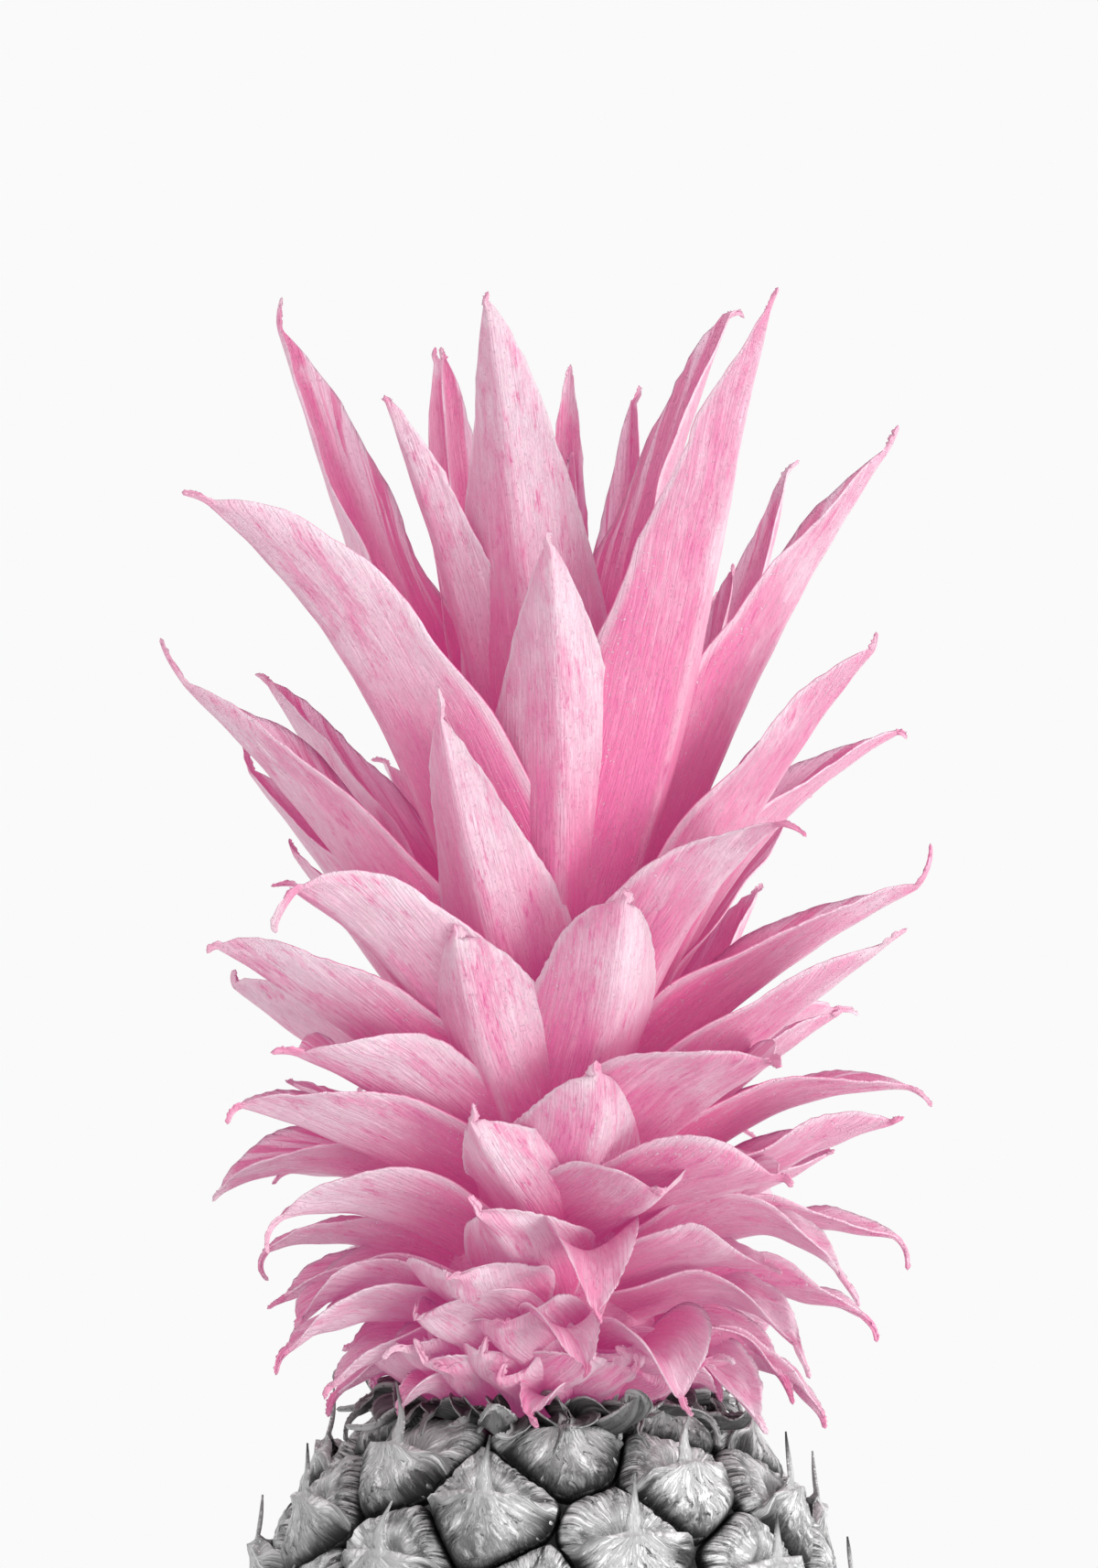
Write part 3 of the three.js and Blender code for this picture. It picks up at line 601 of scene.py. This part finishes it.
def add_blade(gathered, row, number, random):
    """One leaf: sections along its middle line, wavy and thin at the margins and thick at the keel.

    Its half width is one minus t to the fullness, to a power below one that rounds the end, and then a ragged
    dried tip. Skirt leaves are crumpled: sines along and across raise and lower them."""
    azimuth, root, width, fullness = row[0], row[1], row[6], row[7]
    steps, columns = 72, 17
    ring = 2 * columns
    t = np.concatenate([np.linspace(0.04, 1, 58) ** 0.92, 1 + np.linspace(0.009, TIP_SPAN, steps - 58)])
    even = np.linspace(-1, 1, columns)
    u = np.sign(even) * (0.55 * np.abs(even) + 0.45 * np.abs(even) ** 1.7)
    u = 0.8 * u + 0.2 * np.sin(even * np.pi / 2)
    inside, past = np.clip(t, 0, 1), np.clip((t - 1) / TIP_SPAN, 0, 1)
    chance = random.random(12)
    blunt, skirt = smooth(3.3, 4.6, fullness), 1 - smooth(158, 176, root)

    line = blade_line(row, t, chance[0] - 0.5)
    length = np.concatenate([[0], np.cumsum(np.linalg.norm(np.diff(line, axis=0), axis=1))])
    side = sideways(np.array(np.radians(azimuth)))
    ahead = unit(np.gradient(line, axis=0))
    across = unit(side - (ahead @ side)[:, None] * ahead)
    inner = np.cross(ahead, across)
    roll = np.radians(20 * (chance[1] - 0.5)) * inside ** 2
    roll = roll + np.radians(150 * (chance[8] - 0.5)) * past
    roll = (roll + np.radians(34 * (chance[9] - 0.5)) * smooth(0.75, 1, inside))[:, None]
    across, inner = across * np.cos(roll) + inner * np.sin(roll), inner * np.cos(roll) - across * np.sin(roll)

    outline = (1 - inside ** (fullness + 0.3)) ** (0.84 - 0.30 * blunt)
    outline = outline * (0.84 + 0.16 * np.sin(np.pi * 0.9 * inside))
    outline = outline * (0.5 + 0.5 * smooth(0.05, 0.42, inside))
    ragged = random.random(steps) - 0.5
    half = 0.5 * width * outline + (0.85 + 0.9 * blunt) * (1 + 0.5 * ragged * past) * (1 - 0.6 * past ** 2)
    rim = (random.random((2, steps)) - 0.5) * smooth(0.45, 0.95, inside) * 0.5
    half = half[:, None] * (1 + 0.06 * (chance[2] - 0.5) * np.sign(u))[None]
    half = half + np.where(u < -0.97, rim[0][:, None], 0) + np.where(u > 0.97, rim[1][:, None], 0)
    section = blade_section(u, BLADE_KEEL + 6 + 12 * chance[4], BLADE_CUP - 4 + 12 * (chance[5] - 0.5))
    centre = line[:, None] + (half * section[0])[..., None] * across[:, None]
    centre = centre + (half * section[1])[..., None] * inner[:, None]

    wave = 0.8 * np.sin(length / 8.5 + 6 * chance[6]) + 0.5 * np.sin(length / 3.9 + 6 * chance[7])
    wave = wave * smooth(0.1, 0.5, inside) * (1 - 0.5 * past) * np.minimum(half.mean(1) / 8, 1)
    lift = (wave * (1 + 1.1 * skirt))[:, None] * np.abs(u) ** 3 * np.where(u < 0, 1, -0.8)
    length = length[:, None]
    creases = np.sin(length / 2.3 + 4 * u + 9 * chance[10]) * np.sin(3.1 * u + length / 6.1 + 9 * chance[11])
    lift = lift + creases * (0.12 + 0.42 * skirt) * (smooth(0.3, 0.9, inside) * (1 - 0.4 * past))[:, None]
    hem = smooth(0.72, 1.0, np.abs(u)) * (0.9 * np.sin(length / 13 + 5 * chance[3] + 2 * np.sign(u)))
    lift = lift + hem * smooth(0.3, 0.7, inside)[:, None] * np.minimum(half / 9, 1) * (1 + 0.6 * skirt)
    centre = centre + lift[..., None] * inner[:, None]

    thick = (0.42 + 0.85 * np.exp(-np.abs(u) / 0.35))[None] * (1 - 0.45 * inside[:, None] ** 2)
    points = two_faced(centre, thick[..., None], inner)
    ends = np.stack([points[:ring].mean(0), points[-ring:].mean(0) + 0.5 * ahead[-1]])
    spread = np.broadcast_to(np.concatenate([u, u[::-1]]), (steps, ring))
    level = np.broadcast_to(t[:, None], (steps, ring))
    # Weight of the painted shade on the inner face: full on heart leaves, less on skirt leaves.
    face = np.broadcast_to(np.repeat([1.0, 0.0], columns), (steps, ring)) * (1 - 0.85 * skirt)
    flat = spread * np.concatenate([half, half[:, ::-1]], 1)
    pattern = BLADE_PATTERN_STEP * number
    place = np.stack([flat, np.broadcast_to(length, flat.shape), np.full_like(flat, pattern)], -1)
    gathered.add(np.concatenate([points, ends]), wrapped_quads(steps, ring), end_fans(ring, len(points)), {
        "along": with_ends(level, 0, 1 + TIP_SPAN),
        # Share of the way out of the leaf's darker foot, partly its own colour and partly painted shade;
        # skirt leaves leave it sooner.
        "past_deep_foot_and_shade": with_ends(smooth(0.42 - 0.30 * skirt, 0.98 - 0.26 * skirt, level), 0, 1),
        "across": with_ends(spread, 0, 0),
        "inner": with_ends(face, 0, 0),
        "chance": np.full(len(points) + 2, chance[0]),
        "grain": with_ends(place, [0, 0, pattern], [0, length[-1, 0], pattern]),
    })


def back_blades():
    """Blades round the back, from the skirt up to the heart, with a seeded draw for their differences."""
    draw = seeded_draw(7)
    rows = []
    for i in range(BACK_BLADES):
        tier = i / (BACK_BLADES - 1)
        azimuth = 180 + 128 * ((i * GOLDEN_SHARE) % 1) - 64 - 28 * (i == BACK_BLADES - 1)
        root = 154 + 54 * tier
        reach = 44 + 50 * tier * (1 - tier) + 4 * next(draw)
        lift = 6 + 50 * tier if tier < 0.35 else 24 + 160 * (tier - 0.35)
        rise0 = 32 + 42 * tier + 6 * next(draw)
        rise1 = -45 + 125 * tier + 14 * next(draw)
        width = 22 + 13 * np.sin(np.pi * min(1, tier + 0.12)) ** 0.6
        sway = 8 * (next(draw) - 0.5)
        tip = 3 + 4 * next(draw)
        rows.append((azimuth, root, reach, root + lift, rise0, rise1, width, 3.2, sway, tip, -30))
    return rows


def frill_blades():
    """Short blades tucked under the skirt, a golden angle apart: every third hangs, the others stand up."""
    draw = seeded_draw(31)
    rows = []
    for i in range(FRILL_BLADES):
        hangs = i % 3 == 0
        reach = 31 + 4 * next(draw)
        end = (152.5 + 2.5 * next(draw)) if hangs else (157 + 4 * next(draw))
        rise0, rise1 = 60 + 8 * next(draw), (-60 - 15 * next(draw)) if hangs else (40 + 20 * next(draw))
        width = (11 + 4 * next(draw)) if hangs else (19 + 6 * next(draw))
        tip, turn = 1.5 + 1.5 * next(draw), 160 * (next(draw) - 0.5)
        fullness, sway = (2.6 if hangs else 3.6), 4 * (next(draw) - 0.5)
        azimuth = i * GOLDEN_ANGLE % 360
        rows.append((azimuth, FRILL_ROOT, reach, end, rise0, rise1, width, fullness, sway, tip, turn))
    return rows


def make_crown(material):
    """The crown's leaves in pieces by the height of their roots, and the stem that they grow from."""
    random = np.random.default_rng(3)
    tiers = {name: Gathered() for name in TIER_NAMES}
    for number, row in enumerate(FRONT_BLADES + back_blades() + frill_blades()):
        tier = TIER_NAMES[int(np.searchsorted(TIER_BOUNDS, row[1]))]
        add_blade(tiers[tier], row, number, random)
    pieces = [gathered.build(name, material) for name, gathered in tiers.items()]
    line = np.array(STEM_PROFILE, float) + [0, FRUIT_TOP]
    first, last = (FRUIT_TOP + end for end in STEM_ENDS)
    return pieces + [turned("crown_stem", line, first, last, 48, material)]


def make_collar(material):
    """Small dark bracts that lie on the fruit's shoulder under the crown, and a few that curl up from it."""
    random = np.random.default_rng(21)
    gathered = Gathered()
    for i in range(COLLAR_BRACTS):
        reach = 26 + 8 * random.random()
        end = 150.4 + 1.8 * random.random() - 0.22 * (reach - 26)
        width, curl = 7 + 7 * random.random(), 120 * (random.random() - 0.5)
        row = (i * GOLDEN_ANGLE % 360, 149.4, reach, end, 12, -24, width, 2.1, 0, 5, curl)
        add_blade(gathered, row, 200 + i, random)
    for i, (turn, reach, end, tip, curl) in enumerate(CURLED_BRACTS):
        add_blade(gathered, (turn, 148.6, reach, end, -4, 74, 7, 3.0, 0, tip, curl), 240 + i, random)
    return gathered.build("fruit_collar", material)


# Materials


class Nodes:
    """A short way to place nodes in a material's or a group's tree and wire them up."""

    def __init__(self, tree):
        self.tree = tree

    def new(self, kind, inputs=None, **settings):
        node = self.tree.nodes.new(kind)
        for key, value in settings.items():
            setattr(node, key, value)
        for key, value in (inputs or {}).items():
            self.feed(node.inputs[key], value)
        return node

    def feed(self, socket, value):
        if isinstance(value, bpy.types.NodeSocket):
            self.tree.links.new(value, socket)
        else:
            socket.default_value = value

    def value(self, name):
        return self.new("ShaderNodeAttribute", attribute_name=name).outputs["Fac"]

    def vector(self, name):
        return self.new("ShaderNodeAttribute", attribute_name=name).outputs["Vector"]

    def place(self):
        return self.new("ShaderNodeTexCoord").outputs["Object"]

    def maths(self, operation, first, second=0, clamp=False):
        node = self.new("ShaderNodeMath", operation=operation, use_clamp=clamp)
        self.feed(node.inputs[0], first)
        self.feed(node.inputs[1], second)
        return node.outputs[0]

    def times(self, first, second):
        return self.maths("MULTIPLY", first, second)

    def plus(self, first, second):
        return self.maths("ADD", first, second)

    def span(self, value, low, high, to_low=0, to_high=1):
        """Goes smoothly from to_low where value is low to to_high where it is high."""
        numbers = {"Value": value, "From Min": low, "From Max": high, "To Min": to_low, "To Max": to_high}
        return self.new("ShaderNodeMapRange", numbers, interpolation_type="SMOOTHSTEP").outputs[0]

    def scaled(self, vector, factors):
        node = self.new("ShaderNodeVectorMath", operation="MULTIPLY")
        self.feed(node.inputs[0], vector)
        node.inputs[1].default_value = factors
        return node.outputs[0]

    def length(self, vector):
        node = self.new("ShaderNodeVectorMath", operation="LENGTH")
        self.feed(node.inputs[0], vector)
        return node.outputs["Value"]

    def noise(self, vector, scale, detail=3, rough=0.55):
        numbers = {"Vector": vector, "Scale": scale, "Detail": detail, "Roughness": rough}
        return self.new("ShaderNodeTexNoise", numbers).outputs["Fac"]

    def mix(self, share, first, second):
        node = self.new("ShaderNodeMix", data_type="RGBA")
        self.feed(node.inputs["Factor"], share)
        self.feed(node.inputs[6], first)
        self.feed(node.inputs[7], second)
        return node.outputs[2]

    def layered(self, colour, *layers):
        """Lays colours over the first one in turn, each with a share that is the product of its factors."""
        for layer, share, *factors in layers:
            for factor in factors:
                share = self.times(share, factor)
            colour = self.mix(share, colour, layer)
        return colour

    def finish(self, shader, colour, roughness, relief, depth, strength):
        """Gives a shader its colour, its roughness and a bump of that depth in metres."""
        self.feed(shader.inputs["Base Color"], colour)
        self.feed(shader.inputs["Roughness"], roughness)
        bump = self.new("ShaderNodeBump", {"Height": relief, "Distance": depth, "Strength": strength})
        self.feed(shader.inputs["Normal"], bump.outputs[0])


def shade(red, green, blue):
    return (red, green, blue, 1)


def neutral(level):
    return shade(level, level, level)


def grain_group():
    """Fibres and specks that the plant's materials share: lines along the grain, soft patches and flecks."""
    group = bpy.data.node_groups.new("plant_grain", "ShaderNodeTree")
    for name, kind in (("Grain", "NodeSocketVector"), ("Fibre width", "NodeSocketFloat")):
        group.interface.new_socket(name, in_out="INPUT", socket_type=kind)
    for name in ("Fibres", "Patches", "Flecks", "Height"):
        group.interface.new_socket(name, in_out="OUTPUT", socket_type="NodeSocketFloat")
    nodes = Nodes(group)
    given = nodes.new("NodeGroupInput").outputs
    result = nodes.new("NodeGroupOutput").inputs
    fine = nodes.noise(nodes.scaled(given["Grain"], (1, 0.035, 1)), given["Fibre width"], 4, 0.6)
    broad = nodes.noise(nodes.scaled(given["Grain"], (0.35, 0.012, 1)), given["Fibre width"], 2)
    fibres = nodes.span(nodes.plus(nodes.times(fine, 0.6), nodes.times(broad, 0.4)), 0.36, 0.64)
    patches = nodes.span(nodes.noise(nodes.scaled(given["Grain"], (0.9, 0.4, 1)), 0.16, 4, 0.6), 0.40, 0.66)
    flecks = nodes.span(nodes.noise(nodes.scaled(given["Grain"], (1, 0.7, 1)), 2.4, 2, 0.5), 0.62, 0.70)
    height = nodes.plus(nodes.times(fibres, 0.7), nodes.times(flecks, 0.6))
    for name, value in (("Fibres", fibres), ("Patches", patches), ("Flecks", flecks), ("Height", height)):
        nodes.feed(result[name], value)
    return group


GRAIN = grain_group()


def new_material(name):
    material = bpy.data.materials.new(name)
    material.use_nodes = True
    return material, Nodes(material.node_tree), material.node_tree.nodes["Principled BSDF"]


def plant_grain(nodes, fibre_width):
    group = nodes.new("ShaderNodeGroup", node_tree=GRAIN)
    nodes.feed(group.inputs["Grain"], nodes.vector("grain"))
    group.inputs["Fibre width"].default_value = fibre_width
    return group.outputs


def leaf_material():
    """Pink leaf: darker pink at its foot, partly its own colour and partly painted shade where leaves
    overlap, paler outwards with a powdery bloom, striped by fibres, dry at the tip.

    Stains, scratches, scuffs and frost lie over it. Its inner face is darker by painted shade, with dried
    stripes beside the margins. Its half on the +across side and a line along its keel are paler by painted
    highlights. A weak pink emission is painted light that lifts its shade, standing for light coming
    through it, and a sheen stands for its bloom."""
    material, nodes, shader = new_material("leaf")
    grain = plant_grain(nodes, 3.4)
    patches = grain["Patches"]
    along, across, inner = nodes.value("along"), nodes.value("across"), nodes.value("inner")
    place, aside = nodes.vector("grain"), nodes.maths("ABSOLUTE", across)
    deep_tone_and_shade, mid, pale = shade(0.63, 0.085, 0.24), shade(0.565, 0.275, 0.375), shade(0.665, 0.66, 0.665)
    stained, withered, dry = shade(0.60, 0.14, 0.29), shade(0.62, 0.24, 0.36), shade(0.64, 0.56, 0.585)

    stain = nodes.noise(nodes.scaled(place, (0.9, 0.22, 1)), 0.22, 6, 0.72)
    scratched = nodes.noise(nodes.scaled(place, (1, 0.16, 1)), 1.3, 7, 0.75)
    worn = nodes.times(nodes.span(scratched, 0.54, 0.61), nodes.span(stain, 0.40, 0.58))
    scuffed = nodes.times(nodes.span(scratched, 0.46, 0.36), nodes.span(stain, 0.52, 0.40))
    mottle = nodes.span(nodes.noise(nodes.scaled(place, (1, 0.5, 1)), 1, 6, 0.75), 0.46, 0.60)
    stripes = nodes.span(nodes.noise(nodes.scaled(place, (1, 0.03, 1)), 0.55, 4, 0.6), 0.46, 0.55)
    beside = nodes.span(aside, 0.25, 0.75, 0, 0.85)
    # Out of the darker foot: partly the leaf's own colour, partly painted shade where leaves overlap.
    past_foot_and_shade = nodes.maths("ADD", nodes.value("past_deep_foot_and_shade"), nodes.times(patches, 0.14), clamp=True)
    # Painted highlight: a pale line along the keel.
    keel = nodes.span(nodes.maths("ABSOLUTE", nodes.plus(across, 0.02)), 0.01, 0.10, 0.35, 0)
    wither = nodes.span(nodes.plus(along, nodes.times(patches, 0.05)), 0.97, 1.03)
    colour = nodes.layered(
        nodes.mix(past_foot_and_shade, deep_tone_and_shade, mid),
        (deep_tone_and_shade, nodes.span(nodes.value("chance"), 0.2, 1, 0, 0.28)),
        (pale, patches, nodes.span(along, 0.45, 0.95, 0.04, 0.52)),
        (pale, grain["Fibres"], nodes.span(along, 0.3, 0.8, 0.06, 0.26)),
        # Painted highlight: the half on the +across side of each leaf paler towards its end, as if lit from
        # that side.
        (pale, nodes.span(across, 0, 0.10), nodes.span(along, 0.4, 0.8, 0, 0.58)),
        (pale, keel),
        (stained, mottle, 0.14),
        (stained, nodes.span(stain, 0.49, 0.63), 0.55),
        (shade(0.52, 0.085, 0.225), worn, 0.8),
        (shade(0.74, 0.70, 0.73), scuffed, 0.3),
        (pale, nodes.span(aside, 0.88, 0.98, 0, 0.6)),
        (shade(0.74, 0.73, 0.74), grain["Flecks"], nodes.span(aside, 0.3, 1, 0.12, 0.7)),
        # Painted shade: the inner face darker, most towards its foot.
        (shade(0.65, 0.07, 0.24), inner, nodes.span(along, 0.4, 1, 0.96, 0.5)),
        (shade(0.80, 0.74, 0.78), inner, stripes, beside, nodes.span(along, 0.52, 0.78)),
        (nodes.mix(patches, withered, dry), wither),
    )
    relief = nodes.plus(grain["Height"], nodes.times(scratched, 0.8))
    nodes.finish(shader, colour, nodes.span(patches, 0, 1, 0.36, 0.58), relief, 0.0004, 0.9)
    # Painted light: a weak pink glow that lifts the leaf's shade, standing for light coming through it.
    shader.inputs["Emission Color"].default_value = shade(1, 0.12, 0.50)
    shader.inputs["Emission Strength"].default_value = 0.18
    shader.inputs["Sheen Weight"].default_value = 0.25
    shader.inputs["Sheen Roughness"].default_value = 0.45
    return material


def rind_material():
    """Grey rind: a pale middle that darkens by painted shade to near-black grooves, blotched, with ticks at
    the rim.
    """
    material, nodes, shader = new_material("rind")
    flecks = plant_grain(nodes, 1.1)["Flecks"]
    rho, upper = nodes.value("rho"), nodes.value("upper")
    circle, place = nodes.vector("circle"), nodes.vector("grain")
    streaks = nodes.span(nodes.noise(circle, 7, 5, 0.7), 0.45, 0.57)
    fine = nodes.span(nodes.noise(circle, 17, 3, 0.65), 0.44, 0.58)
    blotch = nodes.span(nodes.noise(place, 0.22, 6, 0.75), 0.46, 0.58)
    ticks = nodes.times(nodes.span(rho, 0.62, 0.78), nodes.maths("SUBTRACT", 1, fine))
    dark, light = neutral(0.008), neutral(0.97)
    colour = nodes.layered(
        light,
        # Painted shade: mid grey towards the edge of each eye, darker on its upper half.
        (nodes.mix(nodes.span(upper, -0.5, 0.6), neutral(0.76), neutral(0.58)), nodes.span(rho, 0.42, 0.92)),
        # Dark blotches, stronger towards the edge: partly blotches, partly painted shade.
        (neutral(0.03), blotch, nodes.span(rho, 0.35, 0.8, 0.10, 0.92)),
        (dark, streaks, nodes.span(rho, 0.50, 0.88, 0, 0.95)),
        (light, ticks, nodes.span(upper, -0.6, 0.5, 0.25, 0.8)),
        (light, flecks, 0.6),
        # Painted shade: black at the edge, where the eye falls into the groove.
        (dark, nodes.span(rho, 0.89, 0.97)),
    )
    relief = nodes.plus(nodes.times(streaks, -0.8), nodes.times(blotch, -0.5))
    relief = nodes.plus(relief, nodes.times(fine, -0.4))
    nodes.finish(shader, colour, nodes.span(blotch, 0, 1, 0.36, 0.6), relief, 0.0008, 0.9)
    return material


def bract_material():
    """Papery bract: white along its lip and spine and, partly by a painted highlight, in its middle below;
    blotched and wrinkled below; darker towards its sides and black in the groove by painted shade.
    """
    material, nodes, shader = new_material("bract")
    grain = plant_grain(nodes, 1.5)
    along, across, chance = nodes.value("along"), nodes.value("across"), nodes.value("chance")
    straight = nodes.vector("grain")
    drift = nodes.noise(straight, 0.16, 3, 0.6)
    crooked = nodes.new("ShaderNodeVectorMath", operation="ADD")
    nodes.feed(crooked.inputs[0], straight)
    nodes.feed(crooked.inputs[1], nodes.scaled(drift, (7, 7, 0)))
    place = crooked.outputs["Vector"]
    lines = nodes.span(nodes.noise(nodes.scaled(place, (1, 0.26, 1)), 0.8, 7, 0.75), 0.43, 0.57)
    worn = nodes.span(nodes.noise(place, 0.7, 6, 0.8), 0.55, 0.63)
    blotch = nodes.span(nodes.noise(place, 0.25, 5, 0.7), 0.44, 0.60)
    smudge = nodes.span(nodes.noise(place, 0.12, 6, 0.75), 0.48, 0.57)
    sides = nodes.span(nodes.maths("ABSOLUTE", across), 0.30, 0.98)
    under = nodes.span(along, 0.46, 0.50, 1, 0)
    low = nodes.times(nodes.span(along, 0.05, 0.30, 1, 0), nodes.span(along, 0.50, 0.54, 1, 0))
    tone = nodes.times(nodes.span(chance, 0.3, 1, 0, 0.5), nodes.span(drift, 0.46, 0.56))
    light, dark = neutral(0.97), neutral(0.012)
    colour = nodes.layered(
        light,
        (neutral(0.28), lines, nodes.span(along, 0.46, 0.56, 0.6, 0.15)),
        (neutral(0.08), low, nodes.span(blotch, 0, 1, 0.3, 0.95)),
        # Partly the bract's pale colour, partly a painted highlight: white in the middle of its lower part.
        (light, nodes.span(sides, 0.1, 0.9, 0.95, 0), nodes.span(along, 0.18, 0.40)),
        # Dark smudges below the lip, stronger towards the sides: partly smudges, partly painted shade.
        (neutral(0.06), smudge, under, nodes.span(sides, 0, 0.6, 0.12, 0.9)),
        (neutral(0.07), tone, under),
        (dark, worn, under, 0.9),
        # Painted shade: darker towards the sides, below the lip.
        (dark, sides, sides, nodes.span(along, 0.40, 0.49, 1, 0.25)),
        # Painted shade: black at the bract's foot, down in the groove.
        (dark, nodes.span(along, 0, 0.13, 0.95, 0)),
        (dark, nodes.span(along, 0.72, 0.98), nodes.span(chance, 0.1, 0.6, 0.2, 0.95)),
    )
    relief = nodes.plus(grain["Height"], nodes.times(lines, -1))
    nodes.finish(shader, colour, nodes.span(grain["Fibres"], 0, 1, 0.38, 0.65), relief, 0.0005, 0.9)
    return material


def groove_material():
    """Near-black rind at the bottom of the grooves, with grey scurf."""
    material, nodes, shader = new_material("groove")
    scurf = nodes.span(nodes.noise(nodes.place(), 260, 3, 0.6), 0.45, 0.7)
    colour = nodes.mix(scurf, shade(0.010, 0.010, 0.011), neutral(0.10))
    nodes.finish(shader, colour, 0.8, scurf, 0.0004, 0.6)
    return material


def collar_material():
    """Dark dry bract with lighter fibres, margins and tip."""
    material, nodes, shader = new_material("collar")
    grain = plant_grain(nodes, 0.8)
    margin = nodes.span(nodes.maths("ABSOLUTE", nodes.value("across")), 0.86, 0.98, 0, 0.5)
    tip = nodes.span(nodes.value("along"), 0.9, 1.05, 0, 0.5)
    colour = nodes.layered(
        neutral(0.012),
        (neutral(0.13), grain["Fibres"]),
        (neutral(0.34), grain["Patches"], 0.5),
        (neutral(0.6), nodes.maths("MAXIMUM", margin, tip)),
    )
    nodes.finish(shader, colour, 0.6, grain["Height"], 0.0008, 1)
    return material


def cut_stalk_material():
    """Cut end: pale pith with darker fibre ends and a brown-grey rim."""
    material, nodes, shader = new_material("cut_stalk")
    place = nodes.place()
    ends = nodes.new("ShaderNodeTexVoronoi", {"Vector": place, "Scale": 650})
    rim = nodes.span(nodes.length(nodes.scaled(place, (1, 1, 0))), 0.0105, 0.0138)
    dots = nodes.span(ends.outputs["Distance"], 0.12, 0.42)
    pith = nodes.mix(dots, shade(0.26, 0.25, 0.23), shade(0.62, 0.60, 0.56))
    colour = nodes.layered(pith, (shade(0.14, 0.13, 0.12), rim, 0.8))
    nodes.finish(shader, colour, 0.9, dots, 0.0004, 0.7)
    return material


# Assembly


def dress_part():
    """Makes every piece, rides it on the one body and hides the solid that it stands for."""
    for piece in make_crown(leaf_material()):
        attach(piece, "root")
        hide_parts("crown")
    rind, bract = rind_material(), bract_material()
    low, high = range(EYES // 2), range(EYES // 2, EYES)
    fruit_pieces = [
        make_eyes("fruit_eyes_low", low, rind), make_eyes("fruit_eyes_high", high, rind),
        make_bracts("fruit_bracts_low", low, bract), make_bracts("fruit_bracts_high", high, bract),
        make_core(groove_material()), make_collar(collar_material()),
    ]
    for piece in fruit_pieces:
        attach(piece, "root")
        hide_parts("fruit")
    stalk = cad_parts["stalk"]
    stalk.data.materials.clear()
    stalk.data.materials.append(cut_stalk_material())


# Studio


def area_light(name, place, aim, size, power):
    """A rectangular lamp that points at aim and that the camera doesn't see."""
    light = bpy.data.lights.new(name, "AREA")
    light.shape = "RECTANGLE"
    light.size, light.size_y = size
    light.energy = power
    lamp = bpy.data.objects.new(name, light)
    lamp.location = place
    lamp.visible_camera = False
    lamp.rotation_euler = (Vector(aim) - Vector(place)).to_track_quat("-Z", "Y").to_euler()
    bpy.context.scene.collection.objects.link(lamp)


def lay_floor():
    """A plain pale disc that fades out towards its edge, so that no edge shows."""
    turn = np.linspace(0, 2 * np.pi, 96, endpoint=False)
    mesh = bpy.data.meshes.new("floor")
    mesh.from_pydata((outward(turn) * FLOOR_RADIUS - UP * FLOOR_DROP).tolist(), [], [list(range(96))])
    floor = bpy.data.objects.new("floor", mesh)
    bpy.context.scene.collection.objects.link(floor)
    material, nodes, shader = new_material("floor")
    shader.inputs["Base Color"].default_value = neutral(0.86)
    shader.inputs["Roughness"].default_value = 0.8
    nodes.feed(shader.inputs["Alpha"], nodes.span(nodes.length(nodes.place()), 0.26, 0.58, 1.0, 0.0))
    mesh.materials.append(material)


def set_studio():
    """White surround, soft light mostly from the right, and the floor."""
    scene = bpy.context.scene
    world = bpy.data.worlds.new("studio")
    scene.world = world
    world.use_nodes = True
    world.node_tree.nodes.clear()
    nodes = Nodes(world.node_tree)
    seen = nodes.new("ShaderNodeBackground", {"Color": neutral(BACKDROP), "Strength": 1.0})
    fill = nodes.new("ShaderNodeBackground", {"Color": neutral(1.0), "Strength": FILL})
    rays = nodes.new("ShaderNodeLightPath")
    both = nodes.new("ShaderNodeMixShader", {"Fac": rays.outputs["Is Camera Ray"]})
    nodes.feed(both.inputs[1], fill.outputs[0])
    nodes.feed(both.inputs[2], seen.outputs[0])
    nodes.feed(nodes.new("ShaderNodeOutputWorld").inputs["Surface"], both.outputs[0])
    for lamp in LAMPS:
        area_light(*lamp)
    scene.view_settings.view_transform = "Standard"
    scene.view_settings.look = "None"
    scene.cycles.diffuse_bounces = 8
    scene.cycles.max_bounces = 12
    lay_floor()


def set_camera():
    """The photograph's view: level, from straight in front, with a long lens."""
    camera = bpy.data.cameras.new("camera")
    camera.lens = CAMERA_LENS
    camera.sensor_width = CAMERA_SENSOR
    camera.clip_start = 0.01
    seat = bpy.data.objects.new("camera", camera)
    seat.location = CAMERA_PLACE
    seat.rotation_euler = (np.pi / 2, 0.0, 0.0)
    bpy.context.scene.collection.objects.link(seat)
    bpy.context.scene.camera = seat


set_camera()
set_studio()
dress_part()
